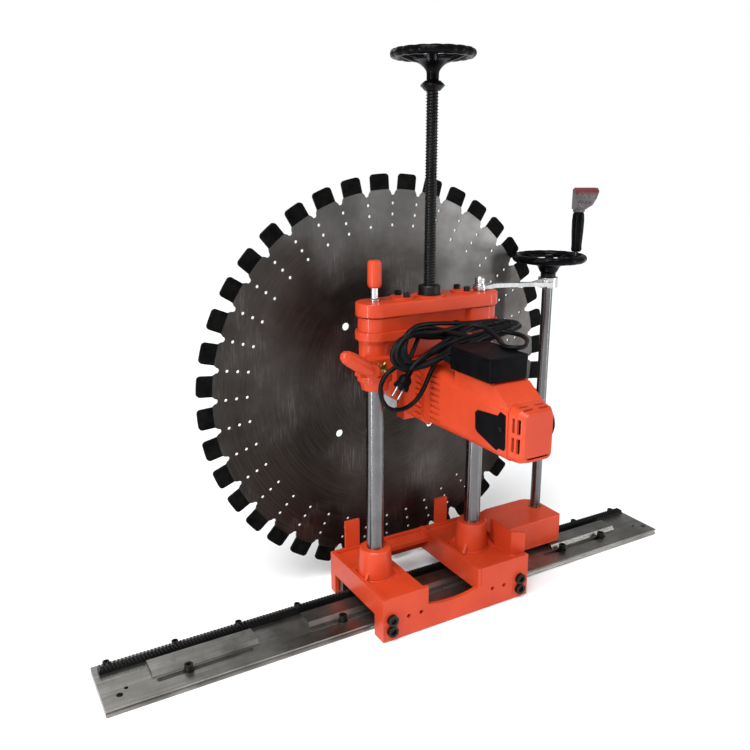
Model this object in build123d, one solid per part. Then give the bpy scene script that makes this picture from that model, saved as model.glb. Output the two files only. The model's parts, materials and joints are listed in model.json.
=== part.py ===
"""Track-mounted electric concrete wall saw: an 800 mm diamond blade on a head that
slides down two columns, on a carriage that runs along a toothed track.

Millimetres, +Z up. The origin is the centre of the track's underside. X runs along
the track, -Y is the operator's side (the motor), +Y is the side of the blade.
"""
from build123d import *
from math import acos, atan2, cos, degrees, hypot, pi, radians, sin, tan
import os

# ---------------------------------------------------------------- driving dimensions
# Track
TRACK_LENGTH = 1230.0
TRACK_WIDTH = 126.0
TRACK_THICK = 13.0
GROOVE_DEPTH = 4.0          # V groove along both long edges
GROOVE_Z = 6.5
RIB_FRONT, RIB_REAR, RIB_HEIGHT, RIB_SLOPE = -16.0, 26.0, 7.0, 6.0
RIB_SPANS = [(-530.0, -342.0), (-243.0, 244.0), (343.0, 530.0)]
SLOT_Y, SLOT_WIDTH = -27.0, 11.0
SLOT_SPANS = [(-521.0, -358.0), (-242.0, 244.0), (315.0, 485.0)]
ANCHOR_X = [-472.0, -180.0, 361.0, 475.0]
RACK_MODULE = 2.0
RACK_FRONT, RACK_REAR, RACK_HEIGHT = 33.0, 48.0, 11.0
RACK_SCREW_PITCH, RACK_SCREW_Y = 118.0, 55.5

# Carriage
FRAME_LEFT, FRAME_RIGHT = -142.4, 188.6
FRAME_FRONT, FRAME_REAR = -111.4, 96.0
FRAME_BOTTOM, FRAME_TOP = 2.0, 87.0
PLATE = 8.0                 # thickness of the welded plates
DECK_TOP = 79.0
SOCKET_TOP, SOCKET_R, SOCKET_FOOT_R = 136.0, 29.3, 34.0
COLUMN_MID_X, COLUMN_PITCH, COLUMN_Y, COLUMN_R = 12.4, 225.0, -8.5, 16.0
SHOE_SCREW_PITCH = 22.0
COLUMN_X = [COLUMN_MID_X - COLUMN_PITCH / 2, COLUMN_MID_X + COLUMN_PITCH / 2]
TOP_PLATE_BOTTOM, TOP_PLATE_TOP, TOP_PLATE_R = 579.0, 603.0, 33.5

# Head
HEAD_TOP, HEAD_BOTTOM = 577.0, 447.0
HEAD_TRAVEL = 280.0
FLANGE_LOW, FLANGE_HIGH, FLANGE_R = 539.0, 553.0, 34.5
SLEEVE_R, LOBE_R, FOOT_RING_R, BUSH_BORE_R, BUSH_OUTER_R = 28.0, 29.5, 31.0, 16.05, 20.0
WAIST = 22.0                # half depth of the head between the columns
SPINDLE_X, SPINDLE_Z, SPINDLE_R = 19.5, 413.0, 12.5
BLADE_Y = 141.3
BLADE_R, SEGMENT_COUNT = 400.0, 40
CORE_R, CORE_THICK, SEGMENT_THICK = 371.0, 3.6, 5.4
MOTOR_X, MOTOR_Z = 12.4, 434.0
CASE_REAR, CASE_FRONT = -4.5, -61.0
MOTOR_CAP_Y, MOTOR_END_Y = -286.0, -315.0
# Rounded sections of the motor: y, half width, low, high, corner radius
MOTOR_SECTIONS = [(CASE_FRONT, 43, 384, 496, 20), (-190, 38, 386, 486, 16), (MOTOR_CAP_Y, 38, 388, 478, 12)]
CAP_SECTIONS = [(MOTOR_CAP_Y, 36, 388, 478, 12), (MOTOR_CAP_Y - 18, 34, 389, 476, 12),
                (MOTOR_END_Y, 27, 393, 471, 10)]
MOTOR_WALL, STATOR_HALF_WIDTH, STATOR_HALF_HEIGHT = 5.0, 33.5, 38.0
PANEL_SCREW_Y, PANEL_SCREW_Z = -272.0, 438.0
PANEL_SKIN, PANEL_FLOOR = 38.8, 35.0
DOME_HEIGHT = 13.0          # the brush cover on the right bulges this far beyond the panel
BOX_X0, BOX_X1, BOX_Y0, BOX_Y1, BOX_Z0, BOX_Z1 = -33.0, 42.0, -250.0, -140.0, 506.0, 544.0
SWITCH_Y = -215.0

# Blade
SEGMENT_PITCH = 2 * pi / SEGMENT_COUNT
FIRST_SEGMENT = radians(93.47)
GULLY_MOUTH, GULLY_FLOOR, GULLY_FLOOR_R = 19.6, 10.0, 365.0
SEGMENT_LENGTH, SEGMENT_ROUNDING = 38.5, 7.0
HOLE_ROWS, HOLE_R = (304.0, 324.5, 345.0), 3.0
PIN_HOLE_R, PIN_CIRCLE_R, FIRST_PIN = 7.5, 152.0, 130.5
CLAMP_R = 62.0              # flanges that hold the blade

# Clamp lever and water valve
LEVER_X, LEVER_Z, LEVER_BOSS_R = COLUMN_X[0] - 43, 500.0, 12.0
VALVE_X, VALVE_Z = COLUMN_X[0] - 19, 503.0
LUG_FACE = COLUMN_Y - 48

# Mains cord
CORD_R, RELIEF_LENGTH = 4.0, 24.0
CORD_EXIT = (-24.0, BOX_Y1, 516.0)
# The free run: out of the strain relief, down beside the motor, round a hanging loop
# and up into the coiled bundle
CORD_ROUTE = [(-24, -116, 516), (-24, -108, 516), (-29.6, -97, 507.6), (-40.6, -96, 489), (-50, -95, 467),
              (-60, -92, 447), (-78, -90, 432), (-103, -89, 427.5), (-124, -88, 437), (-135, -88, 459),
              (-134, -88, 481), (-122, -89, 498), (-103, -90, 507), (-80, -92, 513)]
# Sections of the bundle: centre, half width, half depth
HANK_SECTIONS = [
    ((-110, -85, 519), (0, -4, -12), 4),
    ((-98, -85, 523), (0, -8, -24), 6),
    ((-75, -84, 530), (0, -12, -33), 9),
    ((-40, -84, 536), (0, -20, -29), 11),
    ((0, -85, 538), (0, -24, -21), 12),
    ((35, -88, 542), (0, -25, -10), 11),
    ((75, -90, 549), (0, -28, -2), 9),
    ((112, -95, 553), (0, -31, 1), 7),
    ((140, -100, 554), (0, -26, 1), 5)]
# The oval loop that lies over the box's edge: centre, half length, half width, half height, turn
SIDE_LOOP_CENTRE, SIDE_LOOP_SIZES, SIDE_LOOP_TURN = (74.0, -172.0, 549.0), (66.0, 17.0, 4.5), 51.0
PLUG_BACK, PLUG_DIRECTION = (-84.0, -101.0, 500.0), (-0.62, -0.10, -0.78)

# Screw feed
SCREW_R, SCREW_LEAD = 11.0, 5.0
SCREW_X, SCREW_Y = COLUMN_MID_X, COLUMN_Y
LIFT_WHEEL_Z, LIFT_WHEEL_R, LIFT_HUB_LOW = 1007.0, 72.0, 965.5
SCREW_END_R = 7.5
LIFT_HUB = [(0, LIFT_HUB_LOW - LIFT_WHEEL_Z), (10.4, LIFT_HUB_LOW - LIFT_WHEEL_Z), (10.4, -31), (11.5, -27),
            (16.5, -20), (23, -14.5), (36, -10), (36, -5), (20, -9), (14, -3), (0, -3)]

# Traverse drive
SHAFT_X, SHAFT_Y, SHAFT_R = 355.5, 62.0, 11.0
PINION_TEETH = 15
PINION_R = RACK_MODULE * PINION_TEETH / 2
PINION_Y = (RACK_FRONT + RACK_REAR) / 2
PINION_Z = TRACK_THICK + RACK_HEIGHT - RACK_MODULE + PINION_R
BEVEL_TEETH, BEVEL_R = 16, 12.0
TRAVERSE_WHEEL_Z, TRAVERSE_WHEEL_R = 641.0, 76.0
ARM_LOW, ARM_HIGH = 604.0, 612.0
EYE_LOW, EYE_HIGH, EYE_R = 581.0, 601.0, 20.5    # the arm's eye round the shaft
TRAVERSE_HUB_LOW = 609.5
TRAVERSE_HUB = [(0, -31.5), (15, -31.5), (17, -29.5), (20, -24), (23, -18), (32, -11), (32, -5), (20, -8),
                (14, -2), (0, -2)]
GEARBOX_LEFT, GEARBOX_RIGHT = FRAME_RIGHT, SHAFT_X + 22
GEARBOX_FRONT, GEARBOX_REAR, GEARBOX_LOW, GEARBOX_HIGH = -2.0, 105.0, 22.0, 83.0
CRANK_R, CRANK_ANGLE = 64.0, -10.0
CAP_LEAN, CAP_WIDTH = -30.0, 34.0    # direction that the grip's end knob leans to
FIT = 0.05                  # radial play of a shaft in its bore
GAP = 0.4                   # clearance between parts that pass each other

# Gear train of the head: rotor pinion, idler wheel and pinion, spindle wheel
ROTOR_TEETH, IDLER_WHEEL_TEETH, MODULE_FAST = 10, 40, 1.0
IDLER_PINION_TEETH, OUTPUT_TEETH, MODULE_SLOW = 12, 34, 1.25
FAST_CENTRES = MODULE_FAST * (ROTOR_TEETH + IDLER_WHEEL_TEETH) / 2
SLOW_CENTRES = MODULE_SLOW * (IDLER_PINION_TEETH + OUTPUT_TEETH) / 2
MOTOR_TO_SPINDLE = hypot(SPINDLE_X - MOTOR_X, SPINDLE_Z - MOTOR_Z)
TO_SPINDLE_ANGLE = atan2(SPINDLE_Z - MOTOR_Z, SPINDLE_X - MOTOR_X)
IDLER_ANGLE = TO_SPINDLE_ANGLE - acos(
    (FAST_CENTRES**2 + MOTOR_TO_SPINDLE**2 - SLOW_CENTRES**2)
    / (2 * FAST_CENTRES * MOTOR_TO_SPINDLE))
BEARING_R, BEARING_WIDTH = 20.0, 15.0
IDLER_X = MOTOR_X + FAST_CENTRES * cos(IDLER_ANGLE)
IDLER_Z = MOTOR_Z + FAST_CENTRES * sin(IDLER_ANGLE)

UP, DOWN = (0, 0, 1), (0, 0, -1)
FRONTWARD, BACKWARD = (0, -1, 0), (0, 1, 0)
RIGHT, LEFT = (1, 0, 0), (-1, 0, 0)


# ---------------------------------------------------------------- shape helpers
def block(x0, x1, y0, y1, z0, z1):
    """A box between two corners."""
    return Pos((x0 + x1) / 2, (y0 + y1) / 2, (z0 + z1) / 2) * Box(x1 - x0, y1 - y0, z1 - z0)


def rod(start, direction, radius, length):
    """A round bar from a point, along a direction."""
    return Plane(origin=start, z_dir=direction) * Cylinder(
        radius, length, align=(Align.CENTER, Align.CENTER, Align.MIN))


def ring(start, direction, outer, inner, length):
    """A round bar with a bore."""
    return rod(start, direction, outer, length) - rod(start, direction, inner, length)


def lathe(profile, origin=(0, 0, 0), direction=UP):
    """A solid of revolution: the profile is (radius, height) points along the direction."""
    face = Plane.XZ * make_face(Polyline(*profile, close=True))
    return Plane(origin=origin, z_dir=direction) * revolve(face, Axis.Z, 360)


def prism(points, plane, length):
    """A polygon pushed out along its plane's normal."""
    return extrude(plane * make_face(Polyline(*points, close=True)), amount=length)


def rounded_bar(x0, x1, y0, y1, z0, z1, radius):
    """A box along Y with its four long edges rounded."""
    section = RectangleRounded(x1 - x0, z1 - z0, radius)
    plane = Plane(origin=((x0 + x1) / 2, y1, (z0 + z1) / 2), x_dir=(1, 0, 0), z_dir=(0, -1, 0))
    return extrude(plane * section, amount=y1 - y0)


def capsule_plate(x0, x1, y, radius, z0, z1):
    """A plate with round ends whose centres are (x0, y) and (x1, y)."""
    plate = block(x0, x1, y - radius, y + radius, z0, z1)
    for x in (x0, x1):
        plate += rod((x, y, z0), UP, radius, z1 - z0)
    return plate


def cap_screw(seat, direction, size, length, head_height=None):
    """A socket cap screw: the seat is the point under its head, on its axis."""
    height = head_height or size
    head = rod(seat, direction, 0.75 * size, height)
    top = [s + height * d for s, d in zip(seat, direction)]
    inward = [-d for d in direction]
    socket = Plane(origin=top, z_dir=inward) * extrude(
        RegularPolygon(0.46 * size, 6), amount=0.55 * height)
    return head - socket + rod(seat, inward, size / 2, length)


def group(solids):
    """Separate solids that share one node."""
    return Compound(children=[s for item in solids for s in item.solids()])


def spur_gear(teeth, module, width, bore, origin, direction=FRONTWARD, turn=0.0):
    """A spur wheel whose teeth are thinner than half the pitch, so they mesh with play."""
    pitch_r = teeth * module / 2
    tip_r, root_r = pitch_r + 0.9 * module, pitch_r - 1.2 * module
    half_pitch = pi / teeth
    points = []
    for i in range(teeth):
        mid = 2 * pi * i / teeth + turn
        for r, share in ((root_r, -0.56), (tip_r, -0.17), (tip_r, 0.17), (root_r, 0.56)):
            points.append((r * cos(mid + share * half_pitch), r * sin(mid + share * half_pitch)))
    wheel = extrude(make_face(Polyline(*points, close=True)), amount=width)
    if bore:
        wheel -= Cylinder(bore, 3 * width)
    return Plane(origin=origin, x_dir=(1, 0, 0), z_dir=direction) * wheel


def bevel_gear(bore, origin, direction, x_dir, turn):
    """A mitre wheel: the pitch cone's tip lies BEVEL_R beyond the wheel's back."""
    height = 4.5
    outer, inner = BEVEL_R + 0.9, BEVEL_R - height + 0.9
    wheel = lathe([(0, -3), (outer - 1, -3), (outer, 0), (inner, height), (0, height)])
    for i in range(BEVEL_TEETH):
        notch = Rot(0, 0, 360 * (i + 0.5) / BEVEL_TEETH + turn) * (
            Pos(BEVEL_R - height / 2 + 0.42, 0, height / 2) * Rot(0, -45, 0) * Box(2.6, 2.7, 14))
        wheel -= notch
    wheel -= Cylinder(bore, 60)
    return Plane(origin=origin, x_dir=x_dir, z_dir=direction) * wheel


def handwheel(radius, rim_r, bore, hub, spokes):
    """A dished handwheel about the origin: round rim, spokes that slope down, hub profile."""
    rim_centre = radius - rim_r
    wheel = revolve(Plane.XZ * Pos(rim_centre, 0) * RegularPolygon(rim_r, 16), Axis.Z, 360)
    wheel += lathe(hub)
    for i in range(spokes):
        angle = 2 * pi * i / spokes + 0.3
        inner = Vector(14 * cos(angle), 14 * sin(angle), -13)
        outer = Vector(rim_centre * cos(angle), rim_centre * sin(angle), 0)
        wheel += rod(inner, outer - inner, 6.0, (outer - inner).length)
    return wheel - rod((0, 0, hub[0][1] - 5), UP, bore, 60)


# ---------------------------------------------------------------- track
def make_track_plate():
    half_l, half_w = TRACK_LENGTH / 2, TRACK_WIDTH / 2
    section = [(-half_w + 1.5, 0), (half_w - 1.5, 0), (half_w, 1.5),
               (half_w, GROOVE_Z - GROOVE_DEPTH), (half_w - GROOVE_DEPTH, GROOVE_Z),
               (half_w, GROOVE_Z + GROOVE_DEPTH), (half_w, TRACK_THICK),
               (-half_w, TRACK_THICK), (-half_w, GROOVE_Z + GROOVE_DEPTH),
               (-half_w + GROOVE_DEPTH, GROOVE_Z), (-half_w, GROOVE_Z - GROOVE_DEPTH),
               (-half_w, 1.5)]
    plate = prism(section, Plane(origin=(-half_l, 0, 0), x_dir=(0, 1, 0), z_dir=RIGHT), TRACK_LENGTH)
    top = TRACK_THICK + RIB_HEIGHT
    rib = [(RIB_FRONT, TRACK_THICK), (RIB_REAR, TRACK_THICK),
           (RIB_REAR - 1, top), (RIB_FRONT + RIB_SLOPE, top)]
    for x0, x1 in RIB_SPANS:
        plate += prism(rib, Plane(origin=(x0, 0, 0), x_dir=(0, 1, 0), z_dir=RIGHT), x1 - x0)
    for x0, x1 in SLOT_SPANS:
        plate -= capsule_plate(x0, x1, SLOT_Y, SLOT_WIDTH / 2, -1, TRACK_THICK + 1)
    for x, y, r in [(-587, -33, 5.5), (-574, -20.5, 3.5), (582, -25, 3.5), (602, -37, 5.5)]:
        plate -= rod((x, y, -1), UP, r, TRACK_THICK + 2)
    for x in rack_screw_places():
        plate -= rod((x, RACK_SCREW_Y, -1), UP, 4, TRACK_THICK + 2)
    return plate


def rack_screw_places():
    return [RACK_SCREW_PITCH * i for i in range(-5, 6)]


def make_rack():
    pitch = pi * RACK_MODULE
    count = int((TRACK_LENGTH - 4) / pitch / 2) - 1
    base, root = TRACK_THICK, TRACK_THICK + RACK_HEIGHT - 2.25 * RACK_MODULE
    tip = TRACK_THICK + RACK_HEIGHT
    pitch_line_share, slope = 0.25 * pitch, tan(radians(20))
    foot = pitch_line_share + slope * 1.25 * RACK_MODULE
    crest = pitch_line_share - slope * RACK_MODULE
    points = [(-count * pitch - pitch / 2, base), (-count * pitch - pitch / 2, root)]
    for i in range(-count, count + 1):
        for dx, z in ((-foot, root), (-crest, tip), (crest, tip), (foot, root)):
            points.append((i * pitch + dx, z))
    points += [(count * pitch + pitch / 2, root), (count * pitch + pitch / 2, base)]
    plane = Plane(origin=(rack_phase(), RACK_REAR, 0), x_dir=(1, 0, 0), z_dir=FRONTWARD)
    return prism(points, plane, RACK_REAR - RACK_FRONT)


def rack_phase():
    """The offset that puts a gap of the rack straight under the pinion's lowest tooth."""
    pitch = pi * RACK_MODULE
    return SHAFT_X % pitch - pitch / 2


def make_rack_screws():
    seat = TRACK_THICK
    return group([cap_screw((x, RACK_SCREW_Y, seat), UP, 8, TRACK_THICK - 1)
                  for x in rack_screw_places()])


def make_anchor_screws():
    screws = []
    for x in ANCHOR_X:
        washer = rod((x, SLOT_Y, TRACK_THICK), UP, 9, 2)
        screws.append(cap_screw((x, SLOT_Y, TRACK_THICK + 2), UP, 10, TRACK_THICK + 1) + washer)
    return group(screws)


# ---------------------------------------------------------------- carriage
def front_plate():
    left, right, low, high = FRAME_LEFT, FRAME_RIGHT, FRAME_BOTTOM, FRAME_TOP
    step_l, step_r = -46.4, 75.1
    outline = Line((left, low), (right - 10, low))
    outline += RadiusArc((right - 10, low), (right, low + 10), -10)
    outline += Polyline((right, low + 10), (right, high + 2), (step_r, high + 2), (step_r, 54))
    outline += ThreePointArc((step_r, 54), (12, 43.5), (step_l, 51))
    outline += Polyline((step_l, 51), (step_l, high), (left, high), (left, low))
    plane = Plane(origin=(0, FRAME_FRONT + PLATE, 0), x_dir=(1, 0, 0), z_dir=FRONTWARD)
    plate = extrude(plane * make_face(outline), amount=PLATE)
    for x, z in [(-88.6, 39.9), (-61.5, 39.4), (102.1, 38.6), (130.3, 37.8)]:
        plate -= rod((x, FRAME_FRONT - 1, z), BACKWARD, 4.2, PLATE + 2)
    return plate


def end_plate(x0):
    front, rear, top = FRAME_FRONT, FRAME_REAR, FRAME_TOP
    outline = [(front, FRAME_BOTTOM), (-80, FRAME_BOTTOM), (-80, 44), (78, 44), (78, FRAME_BOTTOM + 2),
               (rear, FRAME_BOTTOM + 2), (rear, top), (front, top)]
    return prism(outline, Plane(origin=(x0, 0, 0), x_dir=(0, 1, 0), z_dir=RIGHT), PLATE)


def rear_plate():
    leg, low = 62.0, FRAME_BOTTOM + 2
    outline = [(FRAME_LEFT, low), (FRAME_LEFT + leg, low), (FRAME_LEFT + leg, 44),
               (FRAME_RIGHT - leg, 44), (FRAME_RIGHT - leg, low), (FRAME_RIGHT, low),
               (FRAME_RIGHT, FRAME_TOP), (FRAME_LEFT, FRAME_TOP)]
    plane = Plane(origin=(0, FRAME_REAR, 0), x_dir=(1, 0, 0), z_dir=FRONTWARD)
    return prism(outline, plane, PLATE)


def socket_tube(x):
    tube = lathe([(0, DECK_TOP - PLATE), (SOCKET_FOOT_R, DECK_TOP - PLATE), (SOCKET_FOOT_R, DECK_TOP + 4),
                  (SOCKET_R, SOCKET_TOP - 2), (SOCKET_R - 2, SOCKET_TOP), (0, SOCKET_TOP)],
                 (x, COLUMN_Y, 0))
    gusset = [(SOCKET_R - 4, DECK_TOP - 1), (SOCKET_FOOT_R + 13, DECK_TOP - 1),
              (SOCKET_FOOT_R + 13, DECK_TOP + 3), (SOCKET_R - 4, DECK_TOP + 24)]
    for angle in (35, 145, 215, 325):
        plane = Plane(origin=(x, COLUMN_Y, 0), x_dir=(cos(radians(angle)), sin(radians(angle)), 0),
                      z_dir=(sin(radians(angle)), -cos(radians(angle)), 0))
        tube += prism(gusset, plane.offset(-2.5), 5)
    return tube


def make_carriage_frame():
    inner_front, inner_rear = FRAME_FRONT + 1, FRAME_REAR - 1
    left, right = FRAME_LEFT, FRAME_RIGHT
    frame = front_plate() + rear_plate() + end_plate(left) + end_plate(right - PLATE)
    frame += block(left + 1, -46.4, inner_front, inner_rear, DECK_TOP - PLATE, DECK_TOP)
    frame += block(75.1 - PLATE, right - 1, inner_front, inner_rear, DECK_TOP - PLATE, DECK_TOP)
    frame += block(left + 1, right - 1, 60, inner_rear, DECK_TOP - PLATE, DECK_TOP)
    frame += block(75.1 - PLATE, 75.1, inner_front, inner_rear, 44, FRAME_TOP + 2)
    frame += block(-46.4 - PLATE, -46.4, inner_front, inner_rear, 44, DECK_TOP)
    for x0, x1 in ((-111, -80), (104, 133)):
        frame += block(x0, x1, FRAME_REAR - 6, FRAME_REAR, FRAME_TOP - 4, 145)
    for x in COLUMN_X:
        frame += socket_tube(x)
        frame -= rod((x, COLUMN_Y, DECK_TOP - PLATE + 3), UP, COLUMN_R, 80)
    for x, z in shoe_screw_places():
        frame -= rod((x, FRAME_FRONT - 1, z), BACKWARD, 7, PLATE + 2)
        frame -= rod((x, FRAME_REAR + 1, z), FRONTWARD, 7, PLATE + 2)
    return frame


def shoe_screw_places():
    """The two stacked screws of each guide shoe: x, z."""
    left_z, right_z = 43.5, 42.0
    return [(-124.5, left_z), (-124.5, left_z - SHOE_SCREW_PITCH),
            (168.5, right_z), (168.5, right_z - SHOE_SCREW_PITCH)]


def make_guide_shoes():
    """Four blocks bolted inside the plates; a tongue on each runs in the track's groove."""
    shoes = []
    tongue_w = GROOVE_DEPTH - 0.3
    for x, z in shoe_screw_places()[::2]:
        for side in (-1, 1):
            edge = side * (TRACK_WIDTH / 2 + 0.3)
            wall = FRAME_FRONT + PLATE if side < 0 else FRAME_REAR - PLATE
            y0, y1 = min(edge, wall), max(edge, wall)
            x0, x1 = (x - 9, x + 27) if x < 0 else (x - 27, x + 11)
            x0, x1 = max(x0, FRAME_LEFT + PLATE), min(x1, FRAME_RIGHT - PLATE)
            shoe = block(x0, x1, y0, y1, FRAME_BOTTOM + 0.5, z + 12)
            tongue = [(edge, GROOVE_Z - tongue_w), (edge - side * tongue_w, GROOVE_Z),
                      (edge, GROOVE_Z + tongue_w)]
            shoe += prism(tongue, Plane(origin=(x0, 0, 0), x_dir=(0, 1, 0), z_dir=RIGHT), x1 - x0)
            for dz in (0, -SHOE_SCREW_PITCH):
                shoe -= rod((x, wall, z + dz), (0, -side, 0), 7, 22)
            shoes.append(shoe)
    return group(shoes)


def make_shoe_screws():
    screws = []
    for x, z in shoe_screw_places():
        screws.append(cap_screw((x, FRAME_FRONT, z), FRONTWARD, 14, PLATE + 20, 7))
        screws.append(cap_screw((x, FRAME_REAR, z), BACKWARD, 14, PLATE + 20, 7))
    return group(screws)


def make_columns():
    bottom = DECK_TOP - PLATE + 3
    return group([rod((x, COLUMN_Y, bottom), UP, COLUMN_R, 600 - bottom) for x in COLUMN_X])


def pad_places():
    """Raised pads that carry the clamp screws of the top plate."""
    left, right = COLUMN_X
    return [(left + 58, COLUMN_Y + 18), (left + 58, COLUMN_Y - 12), (right - 38, COLUMN_Y + 20),
            (right - 38, COLUMN_Y - 12)]


def make_top_plate():
    left, right = COLUMN_X
    plate = capsule_plate(left, right, COLUMN_Y, TOP_PLATE_R, TOP_PLATE_BOTTOM, TOP_PLATE_TOP)
    rim = plate.edges().filter_by(GeomType.CIRCLE) + plate.edges().filter_by(Axis.X)
    plate = fillet(rim, 2.5)
    for x in (left + 58, right - 38):
        plate += rod((x, COLUMN_Y + 3.5, TOP_PLATE_TOP - 1), UP, 22, 5)
    plate += rod((SCREW_X, SCREW_Y, TOP_PLATE_TOP - 1), UP, 30, 4)
    for x in COLUMN_X:
        plate -= rod((x, COLUMN_Y, TOP_PLATE_BOTTOM - 1), UP, COLUMN_R, 22)
    plate -= rod((left, COLUMN_Y, 500), UP, 4, 150)
    plate -= rod((right, COLUMN_Y, 500), UP, 5, 150)
    plate -= rod((SCREW_X, SCREW_Y, 500), UP, SCREW_R + 2, 150)
    for x, y in pad_places():
        plate -= rod((x, y, TOP_PLATE_TOP - 12), UP, 4, 30)
    return plate


def make_plate_screws():
    seat = TOP_PLATE_TOP + 4
    screws = [cap_screw((x, y, seat), UP, 8, 14) for x, y in pad_places()]
    for y in (20, 100):
        screws.append(cap_screw((FRAME_RIGHT + 16, y, 58), UP, 8, 10))
    return group(screws)


def make_screw_nut():
    seat = TOP_PLATE_TOP + 3
    nut = lathe([(0, seat), (21, seat), (21, seat + 2), (19.5, seat + 3), (19.5, seat + 15),
                 (18, seat + 17), (0, seat + 17)], (SCREW_X, SCREW_Y, 0))
    return nut - rod((SCREW_X, SCREW_Y, seat - 1), UP, SCREW_R + FIT, 30)


# ---------------------------------------------------------------- locking knob
def make_lock_stud():
    x, y, z = COLUMN_X[0], COLUMN_Y, TOP_PLATE_TOP
    stud = lathe([(0, -2.6), (3.95, -2.6), (3.95, 0.3), (9, 0.3), (9, 4), (6.5, 6), (6.5, 24), (0, 24)],
                 (x, y, z))
    return stud


def make_lock_knob():
    x, y, z = COLUMN_X[0], COLUMN_Y, TOP_PLATE_TOP
    return lathe([(0, 24), (9, 24), (11.5, 27), (12.5, 32), (12.2, 66), (11, 69.5), (8, 71), (0, 71)],
                 (x, y, z))


# ---------------------------------------------------------------- traverse drive
def gearbox_outline(inset):
    """The plan of the gearbox: square at the carriage, round at the far end."""
    x0, x1 = GEARBOX_LEFT + inset, GEARBOX_RIGHT - inset
    y0, y1 = GEARBOX_FRONT + inset, GEARBOX_REAR - inset
    plan = Polyline((x0, y0), (x1 - 6, y0), (x1, y0 + 6), (x1, SHAFT_Y + 12))
    plan += ThreePointArc((x1, SHAFT_Y + 12), (x1 - 9, y1 - 10), (x1 - 30, y1))
    plan += Polyline((x1 - 30, y1), (x0 + 60, y1), (x0, y1 - 18), (x0, y0))
    return make_face(plan)


def make_gearbox_housing():
    wall = 5.0
    shell = extrude(Plane.XY.offset(GEARBOX_LOW) * gearbox_outline(0), amount=GEARBOX_HIGH - GEARBOX_LOW)
    top_rim = shell.edges().group_by(Axis.Z)[-1]
    shell = fillet(top_rim, 3)
    shell -= extrude(Plane.XY.offset(GEARBOX_LOW - 1) * gearbox_outline(wall),
                     amount=GEARBOX_HIGH - GEARBOX_LOW + 1 - wall)
    rack_gate = block(GEARBOX_LEFT - 20, 420, RACK_FRONT - 3, RACK_SCREW_Y + 9, GEARBOX_LOW - 1, 30)
    shell -= rack_gate
    shell += rod((SHAFT_X, SHAFT_Y, GEARBOX_HIGH - wall - 6), UP, 19, 8)
    shell -= rod((SHAFT_X, SHAFT_Y, 0), UP, 15, 200)
    for y0, y1 in ((24.0, 31.0), (84.0, 91.0)):
        rib = block(SHAFT_X - 17, SHAFT_X + 17, y0, y1, PINION_Z - 8, GEARBOX_HIGH - wall + 1)
        shell += rib
        shell -= rod((SHAFT_X, y0 - 1, PINION_Z), BACKWARD, 9, y1 - y0 + 2)
    for y in (20, 100):
        shell -= rod((FRAME_RIGHT + 16, y, 40), UP, 4, 30)
    return shell


def make_splash_guard():
    """The folded sheet that stands on the right deck, in front of the gearbox."""
    thick = 4.0
    x = 165.5
    outline = [(x, -18), (x, -85), (187, -101), (187, -101 + 1.25 * thick), (x + thick, -85 + 0.55 * thick),
               (x + thick, -18)]
    guard = extrude(Plane.XY.offset(DECK_TOP) * make_face(Polyline(*outline, close=True)), amount=52)
    return guard - block(FRAME_RIGHT - PLATE, FRAME_RIGHT, -120, 0, DECK_TOP - 1, FRAME_TOP + 2)


def make_bushes():
    """Bronze bushes: gearbox top, arm end, and both ends of the pinion shaft."""
    bushes = [ring((SHAFT_X, SHAFT_Y, GEARBOX_HIGH - 11), UP, 15, SHAFT_R + FIT, 13),
              ring((SHAFT_X, SHAFT_Y, EYE_LOW), UP, 15, SHAFT_R + FIT, EYE_HIGH - EYE_LOW)]
    for y0 in (24.0, 84.0):
        bushes.append(ring((SHAFT_X, y0, PINION_Z), BACKWARD, 9, 6 + FIT, 7))
    return group(bushes)


def make_support_arm():
    x0, y0 = COLUMN_X[1], COLUMN_Y
    along = Vector(SHAFT_X - x0, SHAFT_Y - y0, 0)
    side = Vector(-along.Y, along.X, 0).normalized()
    reach = along.length
    unit = along.normalized()

    def at(s, w):
        return (x0 + unit.X * s + side.X * w, y0 + unit.Y * s + side.Y * w)

    drop = EYE_HIGH - 8 - ARM_HIGH
    thick = ARM_HIGH - ARM_LOW
    plan = [at(0, -11), at(0.35 * reach, -8), at(0.72 * reach, -8), at(reach, -EYE_R),
            at(reach, EYE_R), at(0.72 * reach, 8), at(0.35 * reach, 8), at(0, 11)]
    top = [(-15, ARM_HIGH), (40, ARM_HIGH), (reach - EYE_R, ARM_HIGH + drop), (reach + 1, ARM_HIGH + drop)]
    joggle = top + [(s, z - thick) for s, z in reversed(top)]
    side_plane = Plane(origin=(x0, y0, 0), x_dir=unit, z_dir=-side)
    arm = extrude(Plane.XY.offset(EYE_LOW) * make_face(Polyline(*plan, close=True)), amount=40)
    arm = arm & prism(joggle, side_plane.offset(-30), 60)
    arm += rod((x0, y0, ARM_LOW), UP, 13, thick)
    arm += rod((SHAFT_X, SHAFT_Y, EYE_LOW), UP, EYE_R, EYE_HIGH - EYE_LOW)
    slope = drop / (reach - EYE_R - 40)
    web_start = 0.68 * reach
    web = [(web_start, ARM_HIGH + slope * (web_start - 40) - 2), (reach - EYE_R + 2, ARM_HIGH + drop - 2),
           (reach - EYE_R + 2, EYE_HIGH - 1)]
    arm += prism(web, side_plane.offset(-3), 6)
    arm -= rod((SHAFT_X, SHAFT_Y, EYE_LOW - 10), UP, 15, 40)
    return arm - rod((x0, y0, ARM_LOW - 10), UP, 5, 40)


def make_arm_bolt():
    x, y = COLUMN_X[1], COLUMN_Y
    bolt = lathe([(0, 0), (11, 0), (11, 3), (9, 4), (9, 14), (7, 17), (0, 17)], (x, y, ARM_HIGH))
    return bolt + rod((x, y, ARM_HIGH), DOWN, 5, ARM_HIGH - 600)


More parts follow.
